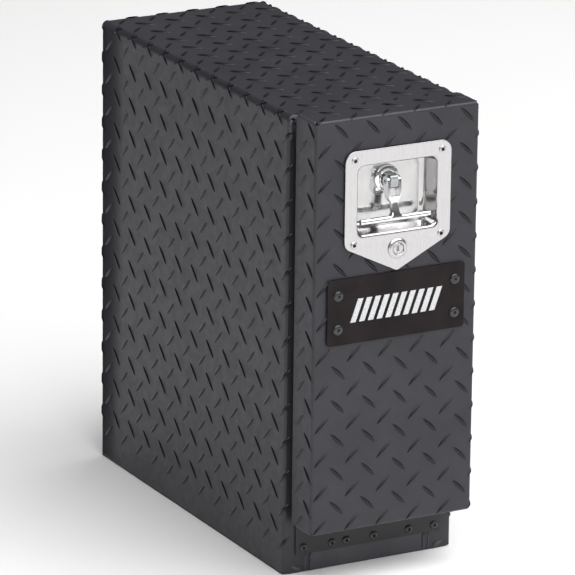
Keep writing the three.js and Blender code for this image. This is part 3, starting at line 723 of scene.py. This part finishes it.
def cabinet_lugs():
    """The tread of both sides, the top, the returns and the back."""
    side_end = WRAP_SIDE + WRAP_QUARTER
    side = lattice(SIDE_LEVEL, SIDE_FIRST - PITCH, (13, 13), LUG_LEAN_BACK, LUG_LEAN)
    side = [(s, t, lean) for s, t, lean in side if s < WRAP_SIDE + 4 * MM]
    forms = [lugs(side, on_wrap, ((0, side_end), (RETURN_EDGE, DEPTH)))]
    mirrored = [(WRAP_LONG - s, t, math.pi - lean) for s, t, lean in side]
    forms.append(lugs(mirrored, on_wrap, ((WRAP_LONG - side_end, WRAP_LONG), (RETURN_EDGE, DEPTH))))

    middle = side_end + HALF_WIDTH - TOP_BEND
    clear = 2 * MM                           # lugs of the top keep this far from its bends
    rim = 1 * MM                             # and are cut off this far from them
    top = lattice(middle + TOP_FIRST - PITCH, TOP_BACK - PITCH, (7, 13), -LUG_LEAN, LUG_LEAN)
    top = [(s, t, lean) for s, t, lean in top
           if WRAP_SIDE + clear < s < WRAP_LONG - WRAP_SIDE - clear]
    forms.append(lugs(top, on_wrap, ((WRAP_SIDE + rim, WRAP_LONG - WRAP_SIDE - rim), (clear, DEPTH))))
    new_piece("cabinet_tread", *merged(*forms), LUGS, "cabinet", "black_tread_plate")

    low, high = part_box("back_panel")
    spots = lattice(DOOR_FIRST - PITCH, SIDE_LEVEL - PITCH, (7, 15), LUG_LEAN, math.pi - LUG_LEAN)
    points, faces = lugs(spots, on_back, ((low.x, high.x), (low.z, high.z)))
    faces = [face[::-1] for face in faces]   # the back faces the other way
    new_piece("back_tread", points, faces, LUGS, "cabinet", "black_tread_plate")


# The puddle of weld in each lower corner: millimetres in from the side, and up
PUDDLE = ((22, 3), (18, 4), (14, 5.5), (10, 7))


def cabinet_welds():
    """Weld runs where the sill plate meets the returns, and at the front corners."""
    low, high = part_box("sill_plate")
    sill_run = 19 * MM                       # how far the runs beside the sill plate go up
    forms = []

    def upright(x, y, start, end, radius):
        forms.append(bead(line_between((x, y, start), (x, y, end)), radius))

    for side in (-1, 1):
        seam = side * (high.x + 0.3 * MM)
        upright(seam, FRONT - 0.1 * MM, 1 * MM, low.z + sill_run, 1.5 * MM)
        beside = side * (high.x + 6.5 * MM)
        upright(beside, FRONT + 0.4 * MM, 0.5 * MM, sill_run, 1.2 * MM)
        corner = side * (HALF_WIDTH - 4 * MM)
        upright(corner, FRONT + 2 * MM, TOP - 26 * MM, TOP - 5 * MM, 3.2 * MM)
        puddle = [Vector((side * (HALF_WIDTH - x * MM), FRONT + 0.6 * MM, z * MM)) for x, z in PUDDLE]
        forms.append(bead(puddle, 2.6 * MM))
    new_piece("cabinet_welds", *merged(*forms), SMOOTH, "cabinet", "black_sheet")


# ------------------------------------------------------------ door

def door_pan():
    """The folded door skin, open under the latch pan, with open notches at its corners."""
    flat_a, flat_b = DOOR_HALF - DOOR_BEND, DOOR_TALL - DOOR_BEND
    quarter = DOOR_BEND * math.pi / 2
    flange = DOOR_DEEP - DOOR_BEND

    def run(flat, inner):
        return joined([-flat - quarter - flange], steps_between(-flat - quarter, -flat, 6), inner,
                      steps_between(flat, flat + quarter, 6), [flat + quarter + flange])

    hole_a = 50 * MM                         # half width of the hole under the latch plate
    hole_low = PAN_LOW.z + 36 * MM - DOOR_MIDDLE
    hole_high = PAN_HIGH.z - 11 * MM - DOOR_MIDDLE
    across = run(flat_a, [-hole_a, 0, hole_a])
    up = run(flat_b, [hole_low, hole_high])

    def skipped(a, b):
        if abs(a) > flat_a and abs(b) > flat_b:
            return True
        return abs(a) < hole_a and hole_low < b < hole_high

    made = sheet_from("door_pan", across, up, on_door, skipped, material=TREAD, body="door",
                      slot="black_tread_plate", replaced=("door_skin",))
    thicken(made, SHEET)
    ease_edges(made, EDGE_EASE)


def door_lugs():
    """The tread of the door face, running on round its bends."""
    spots = lattice(DOOR_FIRST - PITCH, DOOR_LEVEL - PITCH - DOOR_MIDDLE, (7, 14),
                    LUG_LEAN, math.pi - LUG_LEAN)
    flat_a, flat_b = DOOR_HALF - DOOR_BEND, DOOR_TALL - DOOR_BEND
    edge = DOOR_BEND * math.pi / 2 + DOOR_DEEP - DOOR_BEND
    past, short = 1 * MM, 5 * MM             # the notches at the corners, with room to spare
    kept = []
    for a, b, lean in spots:
        if abs(a) > flat_a + past and abs(b) > flat_b - short:
            continue
        if abs(b) > flat_b + past and abs(a) > flat_a - short:
            continue
        level = b + DOOR_MIDDLE
        in_bowl = abs(a) < 52 * MM and PAN_LOW.z + 34 * MM < level < PAN_HIGH.z - 6 * MM
        if not in_bowl:
            kept.append((a, b, lean))
    limits = (-flat_a - edge, flat_a + edge), (-flat_b - edge, flat_b + edge)
    new_piece("door_tread", *lugs(kept, on_door, limits), LUGS, "door", "black_tread_plate")


def door_welds():
    """Weld runs down the four corners of the pan."""
    radius, inset = 2.5 * MM, 2.6 * MM
    forms = []
    for x in (-1, 1):
        for z in (-1, 1):
            across = x * (DOOR_HALF - inset)
            level = DOOR_MIDDLE + z * (DOOR_TALL - inset)
            start = Vector((across, DOOR_FACE + 4.5 * MM, level))
            end = Vector((across, DOOR_FACE + DOOR_DEEP - 0.5 * MM, level))
            forms.append(bead(line_between(start, end), radius))
    new_piece("door_welds", *merged(*forms), SMOOTH, "door", "black_tread_plate")


def door_bulb():
    """The bulb seal round the back of the door: a flat foot and a half-round bulb on it."""
    low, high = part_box("door_seal")
    deep = high.y - low.y
    half, tall = high.x, (high.z - low.z) / 2
    middle = (high.z + low.z) / 2
    bulb, squash = 4.6 * MM, 0.95            # radius of the bulb, and how far it is pressed
    foot_half, foot_thick = 6.2 * MM, 1.6 * MM
    inset, corner = 6.5 * MM, 9 * MM         # of the seal's middle line, and its corner radius
    x, z = half - inset, tall - inset
    path = rounded_outline([(x, middle - z, corner), (x, middle + z, corner),
                            (-x, middle + z, corner), (-x, middle - z, corner)])
    path = dense([(p[0], p[1]) for p in path], 6 * MM)
    section = [(-foot_half, low.y), (foot_half, low.y), (foot_half, low.y + foot_thick)]
    axis = low.y + deep - bulb * squash
    for k in range(13):
        turn = math.pi * k / 12
        section.append((bulb * math.cos(turn), axis + bulb * squash * math.sin(turn)))
    section += [(-foot_half, low.y + foot_thick)]
    form = swept(path, section)
    new_piece("door_bulb_seal", *form, RUBBER, "door", "rubber", ("door_seal",))


def dense(path, step):
    """A closed flat path with extra points on its long runs."""
    made = []
    for k, here in enumerate(path):
        ahead = path[(k + 1) % len(path)]
        span = math.dist(here, ahead)
        count = max(1, int(span / step))
        step_x, step_z = (ahead[0] - here[0]) / count, (ahead[1] - here[1]) / count
        made += [(here[0] + step_x * j, here[1] + step_z * j) for j in range(count)]
    return made


# ------------------------------------------------------------ rivets

RIVET_STEPS = 28                             # faces round a rivet
RIVET_DOME_ROWS = 8                          # rows of faces outside the mandrel hole


def rivet_form(head, dome, hole):
    """A set pop rivet: a low dome with a raised rim round the mandrel hole."""
    radius, bore = head / 2, hole / 2
    rim = bore + 0.25 * MM
    profile = [(0, dome - 1.1 * MM), (bore * 0.9, dome - 1.0 * MM), (bore, dome - 0.15 * MM),
               (rim, dome)]
    for k in range(1, 7):
        turn = math.pi / 2 * k / 6
        profile.append((rim + (radius - rim) * math.sin(turn), dome * math.cos(turn) ** 0.8))
    profile.append((radius, -0.2 * MM))
    return turned(profile[::-1], RIVET_STEPS)


def pop_rivet(name, sizes, turn, seat, material, body, slot, node):
    """One set rivet standing for its CAD node, with near-black painted shade in its hole."""
    form = set_at(rivet_form(*sizes), turn, seat)
    made = new_piece(name, *form, material, body, slot, (node,))
    # The hole's wall and bottom, past the dome rows, take the near-black painted shade
    made.data.materials.append(RIVET_HOLE_SHADE)
    for face in made.data.polygons:
        if face.index >= RIVET_DOME_ROWS * RIVET_STEPS:
            face.material_index = 1


# Head across, dome height and hole across of each kind of pop rivet
HINGE_RIVET = (9.5 * MM, 1.7 * MM, 3.4 * MM)
BADGE_RIVET = (11.4 * MM, 2.3 * MM, 3.2 * MM)
LATCH_RIVET = (8 * MM, 1.3 * MM, 3.9 * MM)


def rivets():
    """Every visible pop rivet, one piece for each."""

    def corner_and_middle(node):
        low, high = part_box(node)
        return low, (low + high) / 2

    for k in range(1, 7):
        node = f"sill_rivet_{k}"
        middle = corner_and_middle(node)[1]
        seat = middle.x, FRONT - 1.5 * MM, middle.z
        pop_rivet(f"sill_pop_rivet_{k}", HINGE_RIVET, TOWARDS_FRONT, seat,
                  RIVET, "cabinet", "black_rivet", node)
    for k in range(1, 5):
        node = f"door_leaf_rivet_{k}"
        low, middle = corner_and_middle(node)
        seat = middle.x, middle.y, low.z + HINGE_RIVET[1]
        pop_rivet(f"door_leaf_pop_rivet_{k}", HINGE_RIVET, DOWNWARDS, seat,
                  RIVET, "door", "black_rivet", node)
        node = f"badge_rivet_{k}"
        low, middle = corner_and_middle(node)
        seat = middle.x, low.y + BADGE_RIVET[1], middle.z
        pop_rivet(f"badge_pop_rivet_{k}", BADGE_RIVET, TOWARDS_FRONT, seat,
                  RIVET, "door", "black_rivet", node)
        node = f"latch_rivet_{k}"
        low, middle = corner_and_middle(node)
        seat = middle.x, low.y + LATCH_RIVET[1], middle.z
        pop_rivet(f"latch_pop_rivet_{k}", LATCH_RIVET, TOWARDS_FRONT, seat,
                  BRUSHED, "door", "stainless", node)


# ------------------------------------------------------------ badge

def plate_form(outline, front, back):
    """A flat plate between two depths."""
    count = len(outline)
    points = [Vector((p[0], depth, p[1])) for depth in (front, back) for p in outline]
    faces = [tuple(range(count)), tuple(range(2 * count - 1, count - 1, -1))]
    faces += [(k, k + count, (k + 1) % count + count, (k + 1) % count) for k in range(count)]
    return points, faces


# The plain pattern of slanted bars, in millimetres from the middle of the plate
BAR_COUNT = 10
BAR_FIRST = -50.0
BAR_PITCH = 10.4
BAR_WIDE = 6.4
BAR_HALF_TALL = 12.5
BAR_SLANT = 0.36                             # sideways for each unit up


def badge():
    """The enamelled plate, with a plain pattern of slanted silver bars."""
    low, high = BADGE_LOW, BADGE_HIGH
    corners = [(low.x, low.z), (high.x, low.z), (high.x, high.z), (low.x, high.z)]
    outline = rounded_outline([(x, z, 3.5 * MM) for x, z in corners])
    form = plate_form(outline, low.y, high.y)
    made = new_piece("badge_face", *form, ENAMEL, "door", "badge_gloss", ("badge_plate",))
    ease_edges(made, 0.5 * MM, steps=3)
    middle = (low + high) / 2
    front = low.y - 0.12 * MM                # the print stands this far proud of the plate
    shift = BAR_SLANT * BAR_HALF_TALL
    forms = []
    for k in range(BAR_COUNT):
        left = BAR_FIRST + BAR_PITCH * k
        right = left + BAR_WIDE
        bar = [(left - shift, -BAR_HALF_TALL), (right - shift, -BAR_HALF_TALL),
               (right + shift, BAR_HALF_TALL), (left + shift, BAR_HALF_TALL)]
        bar = [(middle.x + x * MM, middle.z + z * MM) for x, z in bar]
        forms.append(plate_form(bar, front, low.y))
    new_piece("badge_bars", *merged(*forms), SILVER, "door", "badge_gloss", smooth=False)


# ------------------------------------------------------------ latch

def ray_out(outline, centre, turn):
    """Where a ray from the centre at an angle crosses a closed outline."""
    heading = (math.cos(turn), math.sin(turn))
    tiny = 1e-15                             # a side along the ray isn't crossed
    slack = 1e-9
    best = 0.0
    for k, corner in enumerate(outline):
        following = outline[(k + 1) % len(outline)]
        ax, az = corner[0] - centre[0], corner[1] - centre[1]
        bx, bz = following[0] - centre[0], following[1] - centre[1]
        cross = heading[0] * (bz - az) - heading[1] * (bx - ax)
        if abs(cross) < tiny:
            continue
        far = (ax * (bz - az) - az * (bx - ax)) / cross
        share = (ax * heading[1] - az * heading[0]) / cross
        if far > 0 and -slack <= share <= 1 + slack:
            best = max(best, far)
    return Vector((centre[0] + heading[0] * best, centre[1] + heading[1] * best))


PLATE_ROWS = 7                               # rows of faces of the flange, before the bowl


def latch_bowl():
    """The stainless latch plate: a flange with a soft edge, and a deep-drawn bowl with a
    rolled lip, upright walls and a rounded floor."""
    low, high = PAN_LOW, PAN_HIGH
    half = high.x
    shoulder = low.z + 29.5 * MM
    point = low.z - 1.6 * MM                 # the sharp corner that the lower round cuts
    flange = rounded_outline([(0, point, 5 * MM), (half, shoulder, 11 * MM),
                              (half, high.z, 12 * MM), (-half, high.z, 12 * MM),
                              (-half, shoulder, 11 * MM)], 10)
    bowl_half, bowl_low, bowl_high = 46.8 * MM, low.z + 41.7 * MM, high.z - 17.2 * MM
    centre = (0, (bowl_low + bowl_high) / 2)

    def bowl(inset, radius):
        x, below, above = bowl_half - inset, bowl_low + inset, bowl_high - inset
        return rounded_outline([(x, below, radius), (x, above, radius),
                                (-x, above, radius), (-x, below, radius)], 10)

    corners = list(flange) + list(bowl(0, 8 * MM))
    turns = sorted({round(math.atan2(p[1] - centre[1], p[0] - centre[0]), 6) for p in corners})
    front, floor = low.y, high.y - 1.2 * MM
    rings = []

    # (inset, behind the front) of the flange's soft edge
    soft_edge = ((0.0, 1.45 * MM), (0.0, 0.5 * MM), (0.15 * MM, 0.15 * MM), (0.5 * MM, 0.0),
                 (1.1 * MM, 0.0))
    for inset, behind in soft_edge:
        ring = []
        for turn in turns:
            edge = ray_out(flange, centre, turn)
            back = (edge - Vector(centre)).normalized() * inset
            ring.append(Vector((edge.x - back.x, front + behind, edge.y - back.y)))
        rings.append(ring)

    # (inset, behind, corner radius) down the bowl: lip, wall, knee
    lip, knee, draft = 3.2 * MM, 6.0 * MM, 1.6 * MM
    deep = floor - front
    bends = [math.radians(a) for a in (18, 36, 54, 72, 90)]
    shape = [(-lip - 0.8 * MM, 0.0, 9.5 * MM), (-lip, 0.0, 9.5 * MM)]
    shape += [(-lip * (1 - math.sin(a)), lip * (1 - math.cos(a)), 8.5 * MM) for a in bends]
    shape += [(draft * 0.5, (lip + deep - knee) / 2, 8 * MM), (draft, deep - knee, 7.5 * MM)]
    shape += [(draft + knee * (1 - math.cos(a)), deep - knee + knee * math.sin(a), 7 * MM)
              for a in bends]
    for inset, behind, radius in shape:
        outline = bowl(inset, radius)
        spots = [ray_out(outline, centre, turn) for turn in turns]
        rings.append([Vector((p.x, front + behind, p.y)) for p in spots])
    last = rings[-1]
    for share in (0.6, 0.25):                # the floor, drawn in towards its middle
        rings.append([Vector((p.x * share, p.y, centre[1] + (p.z - centre[1]) * share))
                      for p in last])

    count = len(turns)
    points = [p for ring in rings for p in ring]
    faces = between_rows(len(rings), count)
    faces.append(tuple((len(rings) - 1) * count + k for k in range(count)))
    made = new_piece("latch_plate", points, faces, BRUSHED, "door", "stainless", ("latch_pan",))
    made.data.materials.append(DRAWN)
    for face in made.data.polygons:
        if face.index >= PLATE_ROWS * count:
            face.material_index = 1
    thicken(made, 1.1 * MM, even=False)


# The collar's outside, in millimetres: radius, and distance behind its face
COLLAR = ((9.6, 0), (10.2, 0.4), (10.3, 1.4), (10.9, 1.8), (13.2, 2.3), (14.1, 3.0),
          (14.5, 4.0), (14.5, 5))


def latch_boss():
    """The turned bushing in the bowl: a stepped, polished collar."""
    low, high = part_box("spindle_bushing")
    middle = (low + high) / 2
    bore, barrel = 5.8 * MM, 7.7 * MM
    deep = high.y - low.y
    profile = [(bore, deep), (bore, 0.3 * MM), (bore + 0.4 * MM, 0)]
    profile += [(radius * MM, behind * MM) for radius, behind in COLLAR]
    profile += [(barrel, 5 * MM), (barrel, deep)]
    flipped = [(r, deep - a) for r, a in profile]
    form = set_at(turned(flipped[::-1], 56), TOWARDS_FRONT, (middle.x, high.y, middle.z))
    made = new_piece("latch_collar", *form, CHROME, "door", "bright_chrome", ("spindle_bushing",))
    ease_edges(made, 0.2 * MM, 30)


def capsule(radius, long, swell=0.0):
    """A round bar with softly domed ends, along local Z."""
    half = long / 2
    flat = 0.55                              # how domed an end is; 1 is half a ball
    profile = [(0.0, -half)]
    for a in (20, 40, 60, 75, 90):
        turn = math.radians(a)
        profile.append((radius * math.sin(turn), -half + radius * flat * (1 - math.cos(turn))))
    end = profile[:]
    profile += [(radius * (1 + swell * (1 - abs(k) / 4)), half * 0.85 * k / 4) for k in range(-4, 5)]
    profile += [(r, -a) for r, a in end[::-1]]
    return turned(profile, 32)


# The fork's neck from the bar: distance along in millimetres, half width, half thickness
NECK = ((0.0, 8.8, 4.1), (2.5, 6.5, 4.0), (5.0, 4.9, 3.4), (9.0, 4.6, 3.0))
# Its shoulders: distance short of the pivot, half width, half thickness
SHOULDERS = ((22.5, 4.6, 3.0), (20.5, 6.0, 3.6), (18.5, 8.1, 4.4), (16.0, 8.1, 4.9))
NECK_STEPS = 20
ARM_FROM = 17.0 * MM                         # start of the fork's arms, short of the pivot
ARM_HALF = 4.4 * MM
ARM_SIDES = (4.9 * MM, 8.0 * MM)             # inner and outer face of an arm
EYE = 5.9 * MM                               # radius of the arm's end round the pin


def squared(value):
    """A cosine or sine pushed out, so that a ring becomes a soft-cornered block."""
    return math.copysign(abs(value) ** 0.45, value)


def handle():
    """The folding T-handle: a round bar, and a flat shank that forks round the spindle head."""
    low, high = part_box("handle_bar")
    middle = (low + high) / 2
    radius = (high.z - low.z) / 2
    bar = set_at(capsule(radius, high.x - low.x, 0.03), ACROSS, middle)
    made = new_piece("t_handle_bar", *bar, CHROME, "handle", "bright_chrome", ("handle_bar",))
    ease_edges(made, 0.3 * MM, 40)
    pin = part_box("handle_pivot_pin")
    pivot = (pin[0] + pin[1]) / 2
    up = (pivot - middle).normalized()
    thick = Vector((0, -up.z, up.y))
    if thick.y > 0:
        thick.negate()
    reach = (pivot - middle).length
    side = Vector((1, 0, 0))

    def spot(x, along, deep):
        return middle + side * x + up * along + thick * deep

    web = [(along * MM, wide * MM, deep * MM) for along, wide, deep in NECK]
    web += [(reach - short * MM, wide * MM, deep * MM) for short, wide, deep in SHOULDERS]
    points = []
    for along, wide, deep in web:
        for k in range(NECK_STEPS):
            turn = 2 * math.pi * k / NECK_STEPS
            across, behind = squared(math.cos(turn)) * wide, squared(math.sin(turn)) * deep
            points.append(spot(across, along, behind))
    faces = between_rows(len(web), NECK_STEPS)
    last = (len(web) - 1) * NECK_STEPS
    faces += [tuple(range(NECK_STEPS))[::-1], tuple(last + k for k in range(NECK_STEPS))]
    forms = [(points, faces)]

    outline = [(reach - ARM_FROM, -ARM_HALF), (reach - ARM_FROM, ARM_HALF)]
    for a in range(0, 181, 18):
        turn = math.radians(a)
        outline.append((reach + EYE * math.sin(turn), EYE * math.cos(turn)))
    count = len(outline)
    for sign in (-1, 1):
        points = [spot(sign * x, along, deep) for x in ARM_SIDES for along, deep in outline]
        faces = between_rows(2, count)
        faces += [tuple(range(count))[::-1], tuple(range(count, 2 * count))]
        if sign < 0:
            faces = [face[::-1] for face in faces]
        forms.append((points, faces))
    made = new_piece("t_handle_fork", *merged(*forms), CHROME, "handle", "bright_chrome",
                     ("handle_shank",))
    ease_edges(made, 0.5 * MM, 35, 3)

    ends = pin[1].x - pin[0].x
    form = set_at(capsule((pin[1].z - pin[0].z) / 2, ends + 0.6 * MM), ACROSS, pivot)
    new_piece("t_handle_pin", *form, ZINC, "handle", "stainless", ("handle_pivot_pin",))


def lock_ring():
    """The cam lock's raised ring, on the end of its barrel."""
    low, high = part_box("lock_barrel")
    middle = (low + high) / 2
    radius, bore, barrel = high.x, 6.5 * MM, 9.3 * MM
    profile = [(bore, 6 * MM), (bore, 0.5 * MM), (7.0 * MM, 0.1 * MM), (7.8 * MM, 0),
               (9.2 * MM, 0.3 * MM), (10.3 * MM, 1.0 * MM), (radius, 1.9 * MM),
               (radius, 2.5 * MM), (barrel, 2.5 * MM), (barrel, high.y - low.y)]
    points, faces = turned([(r, -a) for r, a in profile], 48)
    faces = [face[::-1] for face in faces]
    form = set_at((points, faces), TOWARDS_FRONT, (middle.x, low.y, middle.z))
    made = new_piece("lock_ring", *form, BRUSHED, "door", "bright_chrome", ("lock_barrel",))
    ease_edges(made, 0.15 * MM, 30)


def lock_plug():
    """The plug of the cam lock, with its key slot."""
    low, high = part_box("lock_plug")
    middle = (low + high) / 2
    radius = high.x
    wide, tall = 0.9 * MM, 3.7 * MM          # half width and half height of the key slot
    slot = [(-wide, -tall), (wide, -tall), (wide, tall), (-wide, tall)]
    steps = 48
    turns = [2 * math.pi * (k + 0.5) / steps for k in range(steps)]
    points, faces = [], []

    # The round outside from the back, then its eased front edge
    for ring, behind in ((radius, high.y - low.y), (radius, 0.6 * MM),
                         (radius - 0.25 * MM, 0.2 * MM), (radius - 0.7 * MM, 0.0)):
        for turn in turns:
            points.append(Vector((middle.x + ring * math.cos(turn), low.y + behind,
                                  middle.z + ring * math.sin(turn))))
    # The mouth of the key slot, then its end
    for behind in (0.0, 5 * MM):
        for turn in turns:
            at = ray_out(slot, (0, 0), turn)
            points.append(Vector((middle.x + at.x, low.y + behind, middle.z + at.y)))

    for i in range(5):
        near, far = i * steps, (i + 1) * steps
        for k in range(steps):
            after = (k + 1) % steps
            faces.append((near + k, far + k, far + after, near + after))
    faces.append(tuple(5 * steps + k for k in range(steps)))
    new_piece("lock_key_plug", points, faces, BRUSHED, "lock", "bright_chrome", ("lock_plug",))


# ------------------------------------------------------------ make everything

cabinet_sheet()
cabinet_lugs()
cabinet_welds()
door_pan()
door_lugs()
door_welds()
door_bulb()
rivets()
badge()
latch_bowl()
latch_boss()
handle()
lock_ring()
lock_plug()

FINISHES = {
    TREAD: ("bottom_panel", "back_panel", "door_skin", "left_side_panel", "right_side_panel",
            "top_panel"),
    SMOOTH: ("sill_plate", "rain_lip"),
    HINGE: ("hinge_body_leaf", "hinge_door_leaf"),
    LINER: ("door_liner",),
    RUBBER: ("latch_gasket",),
    ZINC: ("latch_spindle", "hinge_pin", "bushing_nut", "cam_nut", "lock_nut", "latch_cam",
           "lock_pawl", "pawl_screw"),
}
for finish, names in FINISHES.items():
    for name in names:
        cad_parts[name].data.materials.clear()
        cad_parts[name].data.materials.append(finish)


# ------------------------------------------------------------ studio

FLOOR_REACH = 14.0                           # metres from the middle to an edge of the floor
FLOOR_GAP = 0.4 * MM                         # keeps the floor clear of the object's underside
AIR_BELOW = (0.25, 0.25, 0.255, 1)           # the room's light from below and from above
AIR_ABOVE = (0.06, 0.06, 0.064, 1)

CAMERA_PLACE = (-2.5702, -4.7272, 1.9479)
CAMERA_TURN = -28.543                        # degrees round the upright
CAMERA_DOWN = 17.504                         # degrees below the level
CAMERA_ROLL = 0.693                          # degrees round its own axis
CAMERA_LENS = 327.8                          # millimetres, on a sensor 36 wide


# Each soft box: where it stands and what it points at, in metres, its size, and its watts
OVERHEAD = ((1.6, -2.6, 6.2), (0.2, -0.5, 0), (8.6, 8.6), 860)
FRONT_FILL = ((-1.5, -3.4, 3.0), (0, 0, 0.25), (2.0, 1.6), 40)


def soft_box(name, place, aim, size, power):
    """A rectangular light at a place, turned towards a point."""
    light = bpy.data.lights.new(name, "AREA")
    light.shape = "RECTANGLE"
    light.size, light.size_y = size
    light.energy = power
    made = bpy.data.objects.new(name, light)
    bpy.context.scene.collection.objects.link(made)
    made.location = place
    made.rotation_euler = (Vector(aim) - Vector(place)).to_track_quat("-Z", "Y").to_euler()


def studio():
    """A pale floor, soft boxes and the camera."""
    mesh = bpy.data.meshes.new("floor")
    corners = [(x * FLOOR_REACH, y * FLOOR_REACH, 0) for x, y in ((-1, -1), (1, -1), (1, 1), (-1, 1))]
    mesh.from_pydata(corners, [], [(0, 1, 2, 3)])
    mesh.materials.append(studio_floor())
    floor = bpy.data.objects.new("floor", mesh)
    bpy.context.scene.collection.objects.link(floor)
    floor.location.z = CAD_BOX[0].z - FLOOR_GAP

    world = bpy.data.worlds.new("studio_air")
    world.use_nodes = True
    bpy.context.scene.world = world
    bpy.context.scene.view_settings.view_transform = "Standard"
    tree = world.node_tree
    air = tree.nodes["Background"]
    air.inputs["Strength"].default_value = 1.0
    heading = add_node(tree, "ShaderNodeTexCoord").outputs["Generated"]
    split = add_node(tree, "ShaderNodeSeparateXYZ", None, {"Vector": heading})
    shade = add_node(tree, "ShaderNodeValToRGB", None, {"Fac": split.outputs["Z"]})
    shade.color_ramp.elements[0].position = 0.0
    shade.color_ramp.elements[0].color = AIR_BELOW
    shade.color_ramp.elements[1].position = 0.5
    shade.color_ramp.elements[1].color = AIR_ABOVE
    tree.links.new(shade.outputs["Color"], air.inputs["Color"])

    soft_box("overhead_box", *OVERHEAD)
    soft_box("front_box", *FRONT_FILL)

    camera = bpy.data.objects.new("camera", bpy.data.cameras.new("camera"))
    bpy.context.scene.collection.objects.link(camera)
    turn = Matrix.Rotation(math.radians(CAMERA_TURN), 4, "Z")
    tilt = Matrix.Rotation(math.radians(90 - CAMERA_DOWN), 4, "X")
    roll = Matrix.Rotation(math.radians(CAMERA_ROLL), 4, "Z")
    camera.matrix_world = Matrix.Translation(CAMERA_PLACE) @ turn @ tilt @ roll
    camera.data.lens = CAMERA_LENS
    camera.data.sensor_width = 36
    camera.data.clip_end = 60
    bpy.context.scene.camera = camera


studio()
